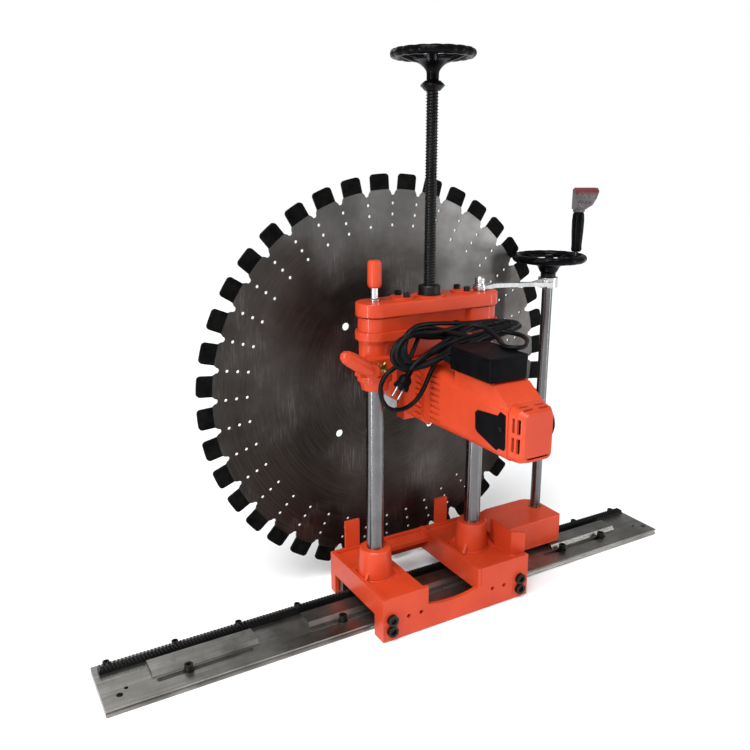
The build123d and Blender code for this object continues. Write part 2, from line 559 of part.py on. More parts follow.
def make_traverse_shaft():
    low = PINION_Z + BEVEL_R - 3
    shaft = rod((SHAFT_X, SHAFT_Y, low), UP, 7, 16)
    shaft += rod((SHAFT_X, SHAFT_Y, low + 13), UP, SHAFT_R, TRAVERSE_HUB_LOW - low - 13)
    return shaft + rod((SHAFT_X, SHAFT_Y, TRAVERSE_HUB_LOW), UP, 8, 28)


def make_shaft_collar():
    low = EYE_HIGH + GAP
    return ring((SHAFT_X, SHAFT_Y, low), UP, 15.5, SHAFT_R, TRAVERSE_HUB_LOW - low)


def make_shaft_bevel():
    low = PINION_Z + BEVEL_R
    return bevel_gear(7, (SHAFT_X, SHAFT_Y, low), DOWN, (1, 0, 0), 180 / BEVEL_TEETH)


def make_pinion_bevel():
    back = SHAFT_Y + BEVEL_R
    return bevel_gear(6, (SHAFT_X, back, PINION_Z), FRONTWARD, (1, 0, 0), 0)


def make_pinion_shaft():
    return rod((SHAFT_X, 22.0, PINION_Z), BACKWARD, 6, 69.5)


def make_rack_pinion():
    start = (SHAFT_X, RACK_REAR - 2.0, PINION_Z)
    return spur_gear(PINION_TEETH, RACK_MODULE, 12, 6, start, FRONTWARD, turn=-pi / 2)


def crank_offset():
    return CRANK_R * cos(radians(CRANK_ANGLE)), CRANK_R * sin(radians(CRANK_ANGLE))


def make_traverse_wheel():
    x, y = crank_offset()
    wheel = handwheel(TRAVERSE_WHEEL_R, 8.0, 8, TRAVERSE_HUB, 5)
    wheel += rod((x, y, -7), UP, 10, 17)
    wheel -= rod((x, y, -20), UP, 5, 60)
    return Pos(SHAFT_X, SHAFT_Y, TRAVERSE_WHEEL_Z) * wheel


def crank_place():
    x, y = crank_offset()
    return SHAFT_X + x, SHAFT_Y + y


def make_crank_pin():
    x, y = crank_place()
    pin = rod((x, y, TRAVERSE_WHEEL_Z - 7), UP, 5, 100)
    return pin


def make_crank_grip():
    x, y = crank_place()
    low = TRAVERSE_WHEEL_Z + 10.5
    grip = lathe([(0, 0), (9, 0), (11, 4), (10.5, 12), (12, 40), (12.5, 62), (11.5, 76), (9.5, 81), (0, 81)],
                 (x, y, low))
    return grip - rod((x, y, low - 1), UP, 5 + FIT, 84)


def make_grip_cap():
    """A boot-shaped end knob that leans out to one side of the grip."""
    x, y = crank_place()
    low = TRAVERSE_WHEEL_Z + 10.5 + 81
    outline = [(-12, 5), (10, 5), (24, 14), (32, 28), (36, 41), (33, 48), (-8, 48), (-12, 44)]
    lean = radians(CAP_LEAN)
    side = Plane(origin=(x, y, low), x_dir=(cos(lean), sin(lean), 0), z_dir=(sin(lean), -cos(lean), 0))
    boot = prism(outline, side.offset(-CAP_WIDTH / 2), CAP_WIDTH)
    boot = chamfer(boot.faces().sort_by(Axis((x, y, low), side.z_dir))[-1].edges(), 4)
    boot = chamfer(boot.faces().sort_by(Axis((x, y, low), side.z_dir))[0].edges(), 4)
    boot += rod((x, y, low), UP, 12, 8)
    return boot - rod((x, y, low - 1), UP, 5 + FIT, 4.5)


# ---------------------------------------------------------------- head casting
def make_head_casting():
    left, right = COLUMN_X
    web_front, web_rear = COLUMN_Y - 24, COLUMN_Y + 30
    casting = rod((left, COLUMN_Y, FLANGE_HIGH - 1), UP, LOBE_R, HEAD_TOP - FLANGE_HIGH + 1)
    casting += rod((right, COLUMN_Y, FLANGE_HIGH - 1), UP, LOBE_R, HEAD_TOP - FLANGE_HIGH + 1)
    half = [(left, LOBE_R), (left + 38, 27), (left + 78, WAIST), (right - 42, WAIST), (right - 40, LOBE_R),
            (right, LOBE_R)]
    waist = half + [(x, -w) for x, w in reversed(half)]
    casting += prism([(x, COLUMN_Y + w) for x, w in waist], Plane.XY.offset(FLANGE_HIGH - 1),
                     HEAD_TOP - FLANGE_HIGH + 1)
    casting += capsule_plate(left, right, COLUMN_Y, FLANGE_R, FLANGE_LOW, FLANGE_HIGH)
    casting += block(left, right, COLUMN_Y - 14, COLUMN_Y + 14, 500, FLANGE_LOW + 1)
    for x, y in flange_screw_places():
        casting += rod((x, y, FLANGE_LOW), UP, 9, FLANGE_HIGH - FLANGE_LOW)
    for x in COLUMN_X:
        casting += lathe([(0, HEAD_BOTTOM), (24, HEAD_BOTTOM), (27, HEAD_BOTTOM + 14),
                          (FOOT_RING_R, HEAD_BOTTOM + 16), (FOOT_RING_R, HEAD_BOTTOM + 27),
                          (SLEEVE_R, HEAD_BOTTOM + 30), (SLEEVE_R, FLANGE_LOW - 8),
                          (FLANGE_R - 4, FLANGE_LOW), (0, FLANGE_LOW)],
                         (x, COLUMN_Y, 0))
    casting += block(-36, 61, -4.5, web_rear, 376, FLANGE_LOW + 1)
    casting += rod((SPINDLE_X, -4.5, SPINDLE_Z), BACKWARD, 42, 26)
    casting += lathe([(0, 0), (42, 0), (42, 22), (36, 30), (36, 104), (33, 108), (0, 108)],
                     (SPINDLE_X, 12, SPINDLE_Z), BACKWARD)
    lug = [(left - 55, LUG_FACE), (left + 13, LUG_FACE), (left + 13, COLUMN_Y - 10),
           (left - 25, COLUMN_Y - 10), (left - 55, LUG_FACE + 20)]
    casting += prism(lug, Plane.XY.offset(485), 27)
    for x in COLUMN_X:
        casting -= rod((x, COLUMN_Y, 300), UP, BUSH_OUTER_R, 400)
    casting -= rod((SCREW_X, SCREW_Y, 545), UP, 17, 60)
    casting -= rod((SPINDLE_X, -10, SPINDLE_Z), BACKWARD, 16, 200)
    for y in (CASE_REAR, 104):
        casting -= rod((SPINDLE_X, y - 1, SPINDLE_Z), BACKWARD, BEARING_R, BEARING_WIDTH + 1)
    casting -= rod((IDLER_X, CASE_REAR - 1, IDLER_Z), BACKWARD, 7.5, 9)
    casting -= rod((LEVER_X, LUG_FACE - 1, LEVER_Z), BACKWARD, 6 + FIT, 22)
    casting -= rod((VALVE_X, LUG_FACE - 1, VALVE_Z), BACKWARD, 5, 12)
    for x, y in flange_screw_places():
        casting -= rod((x, y, FLANGE_HIGH - 11), UP, 4, 12)
    return casting


def flange_screw_places():
    return [(x, COLUMN_Y + side * (FLANGE_R + 4.5)) for x in (-20.0, 45.0) for side in (-1, 1)]


def make_flange_screws():
    return group([cap_screw((x, y, FLANGE_HIGH), UP, 8, 11) for x, y in flange_screw_places()])


def make_head_bushes():
    bushes = []
    for x in COLUMN_X:
        for z in (HEAD_BOTTOM + 1, HEAD_TOP - 41):
            bushes.append(ring((x, COLUMN_Y, z), UP, BUSH_OUTER_R, BUSH_BORE_R, 40))
    bushes.append(ring((SCREW_X, SCREW_Y, 545), UP, 17, 8 + FIT, 9))
    bushes.append(ring((SCREW_X, SCREW_Y, 568), UP, 17, 8 + FIT, 9))
    return group(bushes)


# ---------------------------------------------------------------- lead screw
def make_lead_screw():
    return lathe([(0, 546), (7.9, 546), (7.9, 554.3), (14, 554.3), (14, 567.7), (7.95, 567.7),
                  (7.95, 577.6), (SCREW_R, 577.6), (SCREW_R, 955), (SCREW_END_R, 955),
                  (SCREW_END_R, 1002), (0, 1002)], (SCREW_X, SCREW_Y, 0))


def make_screw_collar():
    low = 949
    collar = lathe([(0, low), (13, low), (16, low + 3), (21, low + 8), (19, low + 11), (13, low + 16),
                    (0, low + 16)], (SCREW_X, SCREW_Y, 0))
    collar -= rod((SCREW_X, SCREW_Y, 900), UP, SCREW_R, 55)
    return collar - rod((SCREW_X, SCREW_Y, 900), UP, SCREW_END_R, 100)


def make_lift_wheel():
    wheel = handwheel(LIFT_WHEEL_R, 7.5, SCREW_END_R, LIFT_HUB, 5)
    return Pos(SCREW_X, SCREW_Y, LIFT_WHEEL_Z) * wheel


# ---------------------------------------------------------------- clamp lever and water valve
def make_clamp_lever():
    x, y, z = LEVER_X, LUG_FACE - GAP, LEVER_Z
    lever = rod((x, y, z), FRONTWARD, LEVER_BOSS_R, 24)
    start, end = Vector(x, y - 15, z), Vector(x - 57, y - 15, z + 36)
    lever += lathe([(0, 0), (11, 0), (12.5, 10), (13.3, 28), (13, 44), (11.5, 55), (8, 62), (4, 65),
                    (0, 65.5)], start, end - start)
    return lever + rod((x, y - 1, z), BACKWARD, 6, 20)


def make_valve_body():
    x, z = VALVE_X, VALVE_Z
    body = rod((x, LUG_FACE + 10, z), FRONTWARD, 5, 11)
    body += rod((x, LUG_FACE, z), FRONTWARD, 6.5, 4)
    body += rod((x, LUG_FACE - 3, z), FRONTWARD, 5.5, 9)
    body += rod((x, LUG_FACE - 7, z), (0.72, 0, -0.69), 4.5, 22)
    return body - rod((x, LUG_FACE - 13, z), BACKWARD, 3, 7)


def make_valve_handle():
    x, y, z = VALVE_X, LUG_FACE - 12 - GAP, VALVE_Z
    handle = rod((x, y, z), FRONTWARD, 4.5, 5) + rod((x, y - 1, z), BACKWARD, 3 - FIT, 6)
    angle = radians(65)
    across = (cos(angle), 0, sin(angle))
    return handle + rod((x - 9 * across[0], y - 2.6, z - 9 * across[2]), across, 2.2, 18)


# ---------------------------------------------------------------- gear case and motor
def make_gear_case():
    x0, x1, z0, z1 = MOTOR_X - 47, MOTOR_X + 47, 383, 498
    case = rounded_bar(x0, x1, CASE_FRONT, CASE_REAR, z0, z1, 16)
    for i in range(9):
        z = z0 + 14 + i * 11
        case += block(x0 - 3, x1 + 3, CASE_FRONT, CASE_FRONT + 20, z, z + 5)
    for i in range(6):
        x = x0 + 15 + i * 11.5
        case += block(x, x + 5, CASE_FRONT, CASE_FRONT + 20, z0 - 3, z1 + 3)
    case -= rounded_bar(x0 + 4.5, x1 - 4.5, CASE_FRONT + 6, CASE_REAR + 1, z0 + 5, z1 - 5, 12)
    case -= rod((MOTOR_X, CASE_FRONT - 1, MOTOR_Z), BACKWARD, 13, 20)
    boss = rod((IDLER_X, CASE_FRONT + 5, IDLER_Z), BACKWARD, 10, 8)
    case = case + boss - rod((IDLER_X, CASE_FRONT + 5, IDLER_Z), BACKWARD, 8, 9)
    for x, z in case_screw_places():
        case -= rod((x, CASE_FRONT - 1, z), BACKWARD, 2.5, 6)
    return case


def case_screw_places():
    return [(MOTOR_X - 30, 402), (MOTOR_X + 30, 402), (MOTOR_X - 30, 480), (MOTOR_X + 30, 480)]


def motor_section(y, half_w, z0, z1, radius):
    """One rounded rectangle of the motor, square to its axis."""
    plane = Plane(origin=(MOTOR_X, y, (z0 + z1) / 2), x_dir=(1, 0, 0), z_dir=FRONTWARD)
    return plane * RectangleRounded(2 * half_w, z1 - z0, radius)


def motor_shell(sections, wall):
    """A tapered shell through rounded rectangles (y, half width, low, high, radius)."""
    outer = loft([motor_section(*s) for s in sections], ruled=True)
    inner = loft([motor_section(y, w - wall, z0 + wall, z1 - wall, r - wall)
                  for y, w, z0, z1, r in sections], ruled=True)
    return outer, inner


def make_motor_housing():
    outer, inner = motor_shell(MOTOR_SECTIONS, MOTOR_WALL)
    front_wall = rounded_bar(MOTOR_X - 40, MOTOR_X + 40, CASE_FRONT - 7, CASE_FRONT, 388, 492, 16)
    housing = outer - (inner - front_wall)
    housing -= rod((MOTOR_X, CASE_FRONT + 1, MOTOR_Z), FRONTWARD, 10, 20)
    housing -= stator_block()
    for x, z in case_screw_places():
        housing -= rod((x, CASE_FRONT - 8, z), BACKWARD, 2.5, 9)
    for side in (-1, 1):
        for i in range(8):
            z, near, far = 400 + 11 * i, MOTOR_X + side * 39.5, MOTOR_X + side * 50
            housing -= block(min(near, far), max(near, far), -108, -80, z, z + 4.5)
        housing -= side_panel(side, 0.3)
        housing -= rod((MOTOR_X + side * 20, PANEL_SCREW_Y, PANEL_SCREW_Z), (side, 0, 0), 2.5, 20)
    return housing


def side_panel(side, grow):
    """The T-shaped brush cover: y, z corners, sunk in the side of the housing."""
    outline = [(-205 + grow, 447), (-207 + grow, 420), (-212, 415 - grow), (-262, 400 - grow),
               (-268, 405 - grow), (-280 - grow, 405 - grow), (-283 - grow, 410), (-281 - grow, 462 + grow),
               (-268, 465 + grow), (-262, 457 + grow), (-211, 452 + grow)]
    plane = Plane(origin=(MOTOR_X + side * PANEL_FLOOR, 0, 0), x_dir=(0, side, 0), z_dir=(side, 0, 0))
    mirrored = [(side * y, z) for y, z in outline]
    return prism(mirrored, plane, PANEL_SKIN - PANEL_FLOOR)


def make_side_panels():
    panels = []
    for side in (-1, 1):
        hole = rod((MOTOR_X + side * 20, PANEL_SCREW_Y, PANEL_SCREW_Z), (side, 0, 0), 2.5, 40)
        panel = side_panel(side, 0)
        if side > 0:
            panel += lathe([(0, -1), (8, -1), (8, 0), (31, 0), (31, 3), (26, 9), (14, DOME_HEIGHT),
                            (0, DOME_HEIGHT)], (MOTOR_X + PANEL_SKIN, PANEL_SCREW_Y, PANEL_SCREW_Z), RIGHT)
        panels.append(panel - hole)
    return group(panels)


def make_panel_screws():
    screws = []
    for side in (-1, 1):
        reach = PANEL_SKIN + (DOME_HEIGHT if side > 0 else 0)
        seat = (MOTOR_X + side * reach, PANEL_SCREW_Y, PANEL_SCREW_Z)
        screws.append(cap_screw(seat, (side, 0, 0), 5, reach - 30, 2))
    for x, z in case_screw_places():
        screws.append(cap_screw((x, CASE_FRONT - 7, z), FRONTWARD, 5, 12, 4))
    return group(screws)


def make_motor_cap():
    outer, inner = motor_shell(CAP_SECTIONS, 4)
    end_wall = rounded_bar(MOTOR_X - 30, MOTOR_X + 30, MOTOR_END_Y, MOTOR_END_Y + 5, 400, 468, 6)
    cap = outer - (inner - end_wall)
    cap += rod((MOTOR_X, MOTOR_END_Y + 4, MOTOR_Z), BACKWARD, 14, 12)
    cap -= rod((MOTOR_X, MOTOR_END_Y + 6, MOTOR_Z), BACKWARD, 11, 12)
    for z0, z1 in ((407, 431), (438, 462)):
        for y in (-296.0, -306.0):
            cap -= block(MOTOR_X - 50, MOTOR_X + 50, y - 2.6, y + 2.6, z0, z1)
    for x in (-16.0, 14.0):
        for y in (-296.0, -306.0):
            cap -= block(MOTOR_X + x - 9, MOTOR_X + x + 9, y - 2, y + 2, 460, 490)
    return cap


def stator_block():
    half_w, half_h = STATOR_HALF_WIDTH, STATOR_HALF_HEIGHT
    return rounded_bar(MOTOR_X - half_w, MOTOR_X + half_w, -190, -115, MOTOR_Z - half_h, MOTOR_Z + half_h, 14)


def make_stator():
    return stator_block() - rod((MOTOR_X, -191, MOTOR_Z), BACKWARD, 21.5, 80)


def make_rotor():
    axis = (MOTOR_X, 0, MOTOR_Z)
    rotor = spur_gear(ROTOR_TEETH, MODULE_FAST, 11.5, 0, (MOTOR_X, -29.5, MOTOR_Z), FRONTWARD, IDLER_ANGLE)
    rotor += rod((MOTOR_X, -40.5, MOTOR_Z), FRONTWARD, 3.6, 8)
    profile = [(0, 44), (6, 44), (6, 72), (30, 72), (31, 75), (31, 84), (6, 86), (6, 118), (20.5, 118),
               (20.5, 188), (9, 192), (9, 205), (14, 205), (14, 232), (6, 232), (6, 305), (0, 305)]
    return rotor + lathe(profile, axis, FRONTWARD)


def make_idler():
    to_spindle = atan2(SPINDLE_Z - IDLER_Z, SPINDLE_X - IDLER_X)
    wheel = spur_gear(IDLER_WHEEL_TEETH, MODULE_FAST, 10, 0, (IDLER_X, -30, IDLER_Z), FRONTWARD,
                      IDLER_ANGLE + pi - pi / IDLER_WHEEL_TEETH)
    wheel += spur_gear(IDLER_PINION_TEETH, MODULE_SLOW, 18.5, 0, (IDLER_X, -12, IDLER_Z), FRONTWARD,
                       to_spindle)
    return wheel + rod((IDLER_X, -54, IDLER_Z), BACKWARD, 4, 56)


def make_bearings():
    """Ball bearings as rings: two each for the spindle, the idler and the rotor."""
    places = [(SPINDLE_X, CASE_REAR, SPINDLE_Z, BEARING_R, SPINDLE_R, BEARING_WIDTH),
              (SPINDLE_X, 104, SPINDLE_Z, BEARING_R, SPINDLE_R, BEARING_WIDTH),
              (IDLER_X, CASE_REAR, IDLER_Z, 7.5, 4, 7), (IDLER_X, CASE_FRONT + 6, IDLER_Z, 8, 4, 6),
              (MOTOR_X, CASE_FRONT - 6, MOTOR_Z, 10, 6, 7), (MOTOR_X, MOTOR_END_Y + 6, MOTOR_Z, 11, 6, 9)]
    return group([ring((x, y, z), BACKWARD, outer, inner + FIT, width)
                  for x, y, z, outer, inner, width in places])


# ---------------------------------------------------------------- control box
def make_box_bracket():
    """The hump on the motor that carries the control box and slopes down to the cap."""
    side = [(BOX_Y1 - 4, 470), (BOX_Y1 - 4, BOX_Z0), (BOX_Y0 + 14, BOX_Z0), (BOX_Y0 + 2, BOX_Z0 - 4),
            (MOTOR_CAP_Y + 10, 482), (MOTOR_CAP_Y + 1, 474), (MOTOR_CAP_Y + 1, 470)]
    left, right = BOX_X0 + 9, MOTOR_X + 33
    hump = prism(side, Plane(origin=(left, 0, 0), x_dir=(0, 1, 0), z_dir=RIGHT), right - left)
    corners = hump.edges().filter_by(Axis.Y).group_by(Axis.Z)[-1]
    hump = chamfer(corners, 6)
    return hump - motor_shell(MOTOR_SECTIONS, MOTOR_WALL)[0]


def make_control_box():
    box = block(BOX_X0, BOX_X1, BOX_Y0, BOX_Y1, BOX_Z0, BOX_Z1)
    box = fillet(box.edges().filter_by(Axis.Z), 5)
    box -= block(BOX_X0 + 3, BOX_X1 - 3, BOX_Y0 + 3, BOX_Y1 - 3, BOX_Z0 + 3, BOX_Z1 - 3)
    box -= block(BOX_X1 - 5, BOX_X1 + 5, SWITCH_Y - 11.3, SWITCH_Y + 11.3, 517, 533)
    return box - rod((CORD_EXIT[0], BOX_Y1 - 5, CORD_EXIT[2]), BACKWARD, 6, 10)


def make_switch():
    """A rocker in the side of the control box."""
    rocker = block(BOX_X1 - 3.5, BOX_X1 + 1.5, SWITCH_Y - 10.5, SWITCH_Y + 10.5, 517.6, 532.4)
    wedge = [(SWITCH_Y - 10.5, BOX_X1 + 1.5), (SWITCH_Y, BOX_X1 + 1.5), (SWITCH_Y - 10.5, BOX_X1 + 4.5)]
    return rocker + extrude(Plane.XY.offset(517.6) * make_face(
        Polyline(*[(x, y) for y, x in wedge], close=True)), amount=14.8)


# ---------------------------------------------------------------- spindle and blade
def make_spindle():
    profile = [(0, -27), (SPINDLE_R, -27), (SPINDLE_R, 121), (30, 121), (30, 129), (CLAMP_R, 129),
               (CLAMP_R, BLADE_Y - CORE_THICK / 2), (SPINDLE_R, BLADE_Y - CORE_THICK / 2), (SPINDLE_R, 151),
               (0, 151)]
    spindle = lathe(profile, (SPINDLE_X, 0, SPINDLE_Z), BACKWARD)
    return spindle - rod((SPINDLE_X, 125, SPINDLE_Z), BACKWARD, 6, 40)


def make_output_gear():
    to_spindle = atan2(SPINDLE_Z - IDLER_Z, SPINDLE_X - IDLER_X)
    return spur_gear(OUTPUT_TEETH, MODULE_SLOW, 13, SPINDLE_R, (SPINDLE_X, -13, SPINDLE_Z), FRONTWARD,
                     to_spindle + pi - pi / OUTPUT_TEETH)


def make_outer_flange():
    start = BLADE_Y + CORE_THICK / 2
    flange = lathe([(0, 0), (CLAMP_R, 0), (CLAMP_R, 4), (54, 8), (24, 9), (0, 9)],
                   (SPINDLE_X, start, SPINDLE_Z), BACKWARD)
    return flange - rod((SPINDLE_X, start - 1, SPINDLE_Z), BACKWARD, SPINDLE_R, 20)


def make_flange_bolt():
    start = BLADE_Y + CORE_THICK / 2 + 9
    washer = rod((SPINDLE_X, start, SPINDLE_Z), BACKWARD, 20, 3)
    head = Plane(origin=(SPINDLE_X, start + 3, SPINDLE_Z), z_dir=BACKWARD) * extrude(
        RegularPolygon(13, 6), amount=9)
    return washer + head + rod((SPINDLE_X, start, SPINDLE_Z), FRONTWARD, 6, 24)


def make_blade_core():
    """The steel disc, with its gullies, three small holes on each gully's line and pin holes."""
    plane = Plane(origin=(SPINDLE_X, BLADE_Y + CORE_THICK / 2, SPINDLE_Z), x_dir=(1, 0, 0),
                  z_dir=FRONTWARD)
    gully = make_face(Polyline((GULLY_FLOOR_R, -GULLY_FLOOR / 2), (CORE_R, -GULLY_MOUTH / 2),
                               (CORE_R + 6, -GULLY_MOUTH / 2), (CORE_R + 6, GULLY_MOUTH / 2),
                               (CORE_R, GULLY_MOUTH / 2), (GULLY_FLOOR_R, GULLY_FLOOR / 2), close=True))
    gully += Pos(GULLY_FLOOR_R, 0) * Circle(GULLY_FLOOR / 2)
    cuts = [Circle(SPINDLE_R)]
    for i in range(SEGMENT_COUNT):
        angle = degrees(FIRST_SEGMENT + (i + 0.5) * SEGMENT_PITCH)
        cuts.append(Rot(0, 0, angle) * gully)
        cuts += [Rot(0, 0, angle) * Pos(r, 0) * Circle(HOLE_R) for r in HOLE_ROWS]
    for i in range(4):
        cuts.append(Rot(0, 0, FIRST_PIN + 90 * i) * Pos(PIN_CIRCLE_R, 0) * Circle(PIN_HOLE_R))
    disc = Circle(CORE_R) - cuts
    return plane * extrude(disc, amount=CORE_THICK)


def make_blade_segments():
    plane = Plane(origin=(SPINDLE_X, BLADE_Y + SEGMENT_THICK / 2, SPINDLE_Z), x_dir=(1, 0, 0),
                  z_dir=FRONTWARD)
    annulus = Circle(BLADE_R) - Circle(CORE_R)
    tooth = annulus & (Pos(BLADE_R - 10, 0) * Rectangle(60, SEGMENT_LENGTH))
    tooth = fillet(tooth.vertices().sort_by(Axis.X)[-2:], SEGMENT_ROUNDING)
    segments = []
    for i in range(SEGMENT_COUNT):
        angle = degrees(FIRST_SEGMENT + i * SEGMENT_PITCH)
        segments.append(plane * extrude(Rot(0, 0, angle) * tooth, amount=SEGMENT_THICK))
    return group(segments)


# ---------------------------------------------------------------- mains cord
def hank_section(centre, half_width, half_depth, direction):
    """An eight-cornered outline across the bundle."""
    c, w = Vector(*centre), Vector(*half_width)
    n = direction.cross(w).normalized() * half_depth
    corners = [(1, 0.5), (0.6, 1), (-0.6, 1), (-1, 0.5), (-1, -0.5), (-0.6, -1), (0.6, -1), (1, -0.5)]
    return make_face(Polyline(*[c + w * a + n * b for a, b in corners], close=True))


def make_cord_hank():
    centres = [Vector(*s[0]) for s in HANK_SECTIONS]
    faces = []
    for i, (centre, width, depth) in enumerate(HANK_SECTIONS):
        before, after = centres[max(i - 1, 0)], centres[min(i + 1, len(centres) - 1)]
        direction = after - before
        direction = direction - Vector(*width).normalized() * direction.dot(Vector(*width).normalized())
        faces.append(hank_section(centre, width, depth, direction.normalized()))
    x, y, z = SIDE_LOOP_CENTRE
    half_length, half_width, half_height = SIDE_LOOP_SIZES
    oval_plane = Plane(origin=(x, y, z - half_height)) * Rot(0, 0, SIDE_LOOP_TURN)
    oval = oval_plane * Ellipse(half_length, half_width)
    return loft(faces, ruled=True) + extrude(oval, amount=2 * half_height)


def corner_radii(points):
    """The largest arc that the two runs at each corner allow; only inner runs are shared."""
    radii = []
    last = len(points) - 3
    for i in range(last + 1):
        run_in = Vector(*points[i + 1]) - Vector(*points[i])
        run_out = Vector(*points[i + 2]) - Vector(*points[i + 1])
        room = min(run_in.length * (0.9 if i == 0 else 0.45), run_out.length * (0.9 if i == last else 0.45))
        radii.append(room / tan(radians(run_in.get_angle(run_out)) / 2))
    return radii


def make_power_cord():
    radii = corner_radii(CORD_ROUTE)
    path = FilletPolyline(*CORD_ROUTE, radius=radii)
    section = Plane(origin=path @ 0, z_dir=path % 0) * Circle(CORD_R)
    return sweep(section, path=path)


def make_strain_relief():
    x, y, z = CORD_EXIT
    relief = lathe([(0, -5), (6, -5), (6, 0), (8, 0), (8, 3), (6.5, 5), (5, RELIEF_LENGTH),
                    (0, RELIEF_LENGTH)], (x, y, z), BACKWARD)
    return relief - rod((x, y - 6, z), BACKWARD, 3, 40)


def make_plug_body():
    profile = [(0, 0), (5, 0), (6, 12), (10, 15), (13.5, 20), (13.5, 36), (0, 36)]
    return lathe(profile, PLUG_BACK, PLUG_DIRECTION)


def make_plug_pins():
    plane = Plane(origin=PLUG_BACK, z_dir=PLUG_DIRECTION)
    return group([plane * Pos(x, 0, 36 + 9) * Cylinder(2.4, 18) for x in (-6.5, 6.5)])


# ---------------------------------------------------------------- every node
NODES = {
    "track_plate": make_track_plate, "rack": make_rack, "rack_screws": make_rack_screws,
    "anchor_screws": make_anchor_screws, "carriage_frame": make_carriage_frame,
    "guide_shoes": make_guide_shoes, "shoe_screws": make_shoe_screws, "columns": make_columns,
    "top_plate": make_top_plate, "plate_screws": make_plate_screws, "screw_nut": make_screw_nut,
    "gearbox_housing": make_gearbox_housing, "splash_guard": make_splash_guard,
    "shaft_bushes": make_bushes, "support_arm": make_support_arm, "arm_bolt": make_arm_bolt,
    "lock_stud": make_lock_stud, "lock_knob": make_lock_knob,
    "traverse_shaft": make_traverse_shaft, "shaft_collar": make_shaft_collar,
    "shaft_bevel_gear": make_shaft_bevel, "traverse_handwheel": make_traverse_wheel,
    "crank_pin": make_crank_pin, "crank_grip": make_crank_grip, "grip_cap": make_grip_cap,
    "pinion_shaft": make_pinion_shaft, "rack_pinion": make_rack_pinion,
    "pinion_bevel_gear": make_pinion_bevel,
    "head_casting": make_head_casting, "head_bushes": make_head_bushes, "flange_screws": make_flange_screws,
    "lead_screw": make_lead_screw, "screw_collar": make_screw_collar, "lift_handwheel": make_lift_wheel,
    "clamp_lever": make_clamp_lever, "valve_body": make_valve_body, "valve_handle": make_valve_handle,
    "gear_case": make_gear_case, "motor_housing": make_motor_housing, "motor_cap": make_motor_cap,
    "side_panels": make_side_panels, "motor_screws": make_panel_screws, "stator": make_stator,
    "rotor": make_rotor, "idler_gear": make_idler, "ball_bearings": make_bearings,
    "box_bracket": make_box_bracket, "control_box": make_control_box, "power_switch": make_switch,
    "spindle": make_spindle, "output_gear": make_output_gear, "outer_flange": make_outer_flange,
    "flange_bolt": make_flange_bolt, "blade_core": make_blade_core,
    "blade_segments": make_blade_segments,
    "strain_relief": make_strain_relief, "power_cord": make_power_cord, "cord_hank": make_cord_hank,
    "plug_body": make_plug_body, "plug_pins": make_plug_pins,
}

os.makedirs("parts", exist_ok=True)
for node, make in NODES.items():
    export_step(make(), f"parts/{node}.step")
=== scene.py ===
"""Looks of a track-mounted wall saw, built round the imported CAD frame. Metres, +Z up."""
import bpy
import bmesh
import json
import math
from mathutils import Matrix, Vector


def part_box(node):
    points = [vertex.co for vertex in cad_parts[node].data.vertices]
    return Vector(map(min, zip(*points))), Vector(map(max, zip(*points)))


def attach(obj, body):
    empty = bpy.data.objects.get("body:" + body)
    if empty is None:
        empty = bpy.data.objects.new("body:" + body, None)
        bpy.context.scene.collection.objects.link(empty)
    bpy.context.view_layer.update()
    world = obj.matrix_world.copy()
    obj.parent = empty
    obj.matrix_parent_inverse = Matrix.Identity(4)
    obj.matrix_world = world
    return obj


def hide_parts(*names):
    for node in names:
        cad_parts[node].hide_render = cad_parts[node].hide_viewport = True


MM = 0.001

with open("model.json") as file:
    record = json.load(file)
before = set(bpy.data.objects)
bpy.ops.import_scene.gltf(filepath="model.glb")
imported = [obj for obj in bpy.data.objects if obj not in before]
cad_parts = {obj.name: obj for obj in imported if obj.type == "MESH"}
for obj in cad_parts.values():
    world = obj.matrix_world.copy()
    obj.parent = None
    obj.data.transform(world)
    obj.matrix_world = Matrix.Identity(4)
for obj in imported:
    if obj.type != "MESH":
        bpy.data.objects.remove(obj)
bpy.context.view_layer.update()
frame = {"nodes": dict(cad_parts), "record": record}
nodes = frame["nodes"]


# ---------------------------------------------------------------- camera
CAMERA_PLACE = (-0.75805, -1.16089, 0.84608)
CAMERA_YAW, CAMERA_PITCH, CAMERA_ROLL = 29.74, 15.77, -0.14     # degrees
LENS, SENSOR_WIDTH = 37.40, 36.0                                # millimetres


def make_camera():
    yaw, pitch, roll = math.radians(CAMERA_YAW), math.radians(CAMERA_PITCH), math.radians(CAMERA_ROLL)
    data = bpy.data.cameras.new("camera")
    data.sensor_width = SENSOR_WIDTH
    data.lens = LENS
    data.clip_start, data.clip_end = 0.01, 100.0
    camera = bpy.data.objects.new("camera", data)
    bpy.context.scene.collection.objects.link(camera)
    camera.location = CAMERA_PLACE
    camera.rotation_mode = "QUATERNION"
    forward = Vector((math.sin(yaw) * math.cos(pitch), math.cos(yaw) * math.cos(pitch), -math.sin(pitch)))
    turn = forward.to_track_quat("-Z", "Y")
    camera.rotation_quaternion = turn @ Matrix.Rotation(roll, 4, "Z").to_quaternion()
    bpy.context.scene.camera = camera


# ---------------------------------------------------------------- material kit
def link(tree, source, target):
    tree.links.new(source, target)


def noise(tree, coordinates, scale, detail=4.0, roughness=0.55, distortion=0.0):
    node = tree.nodes.new("ShaderNodeTexNoise")
    node.inputs["Scale"].default_value = scale
    node.inputs["Detail"].default_value = detail
    node.inputs["Roughness"].default_value = roughness
    node.inputs["Distortion"].default_value = distortion
    link(tree, coordinates, node.inputs["Vector"])
    return node.outputs["Fac"]


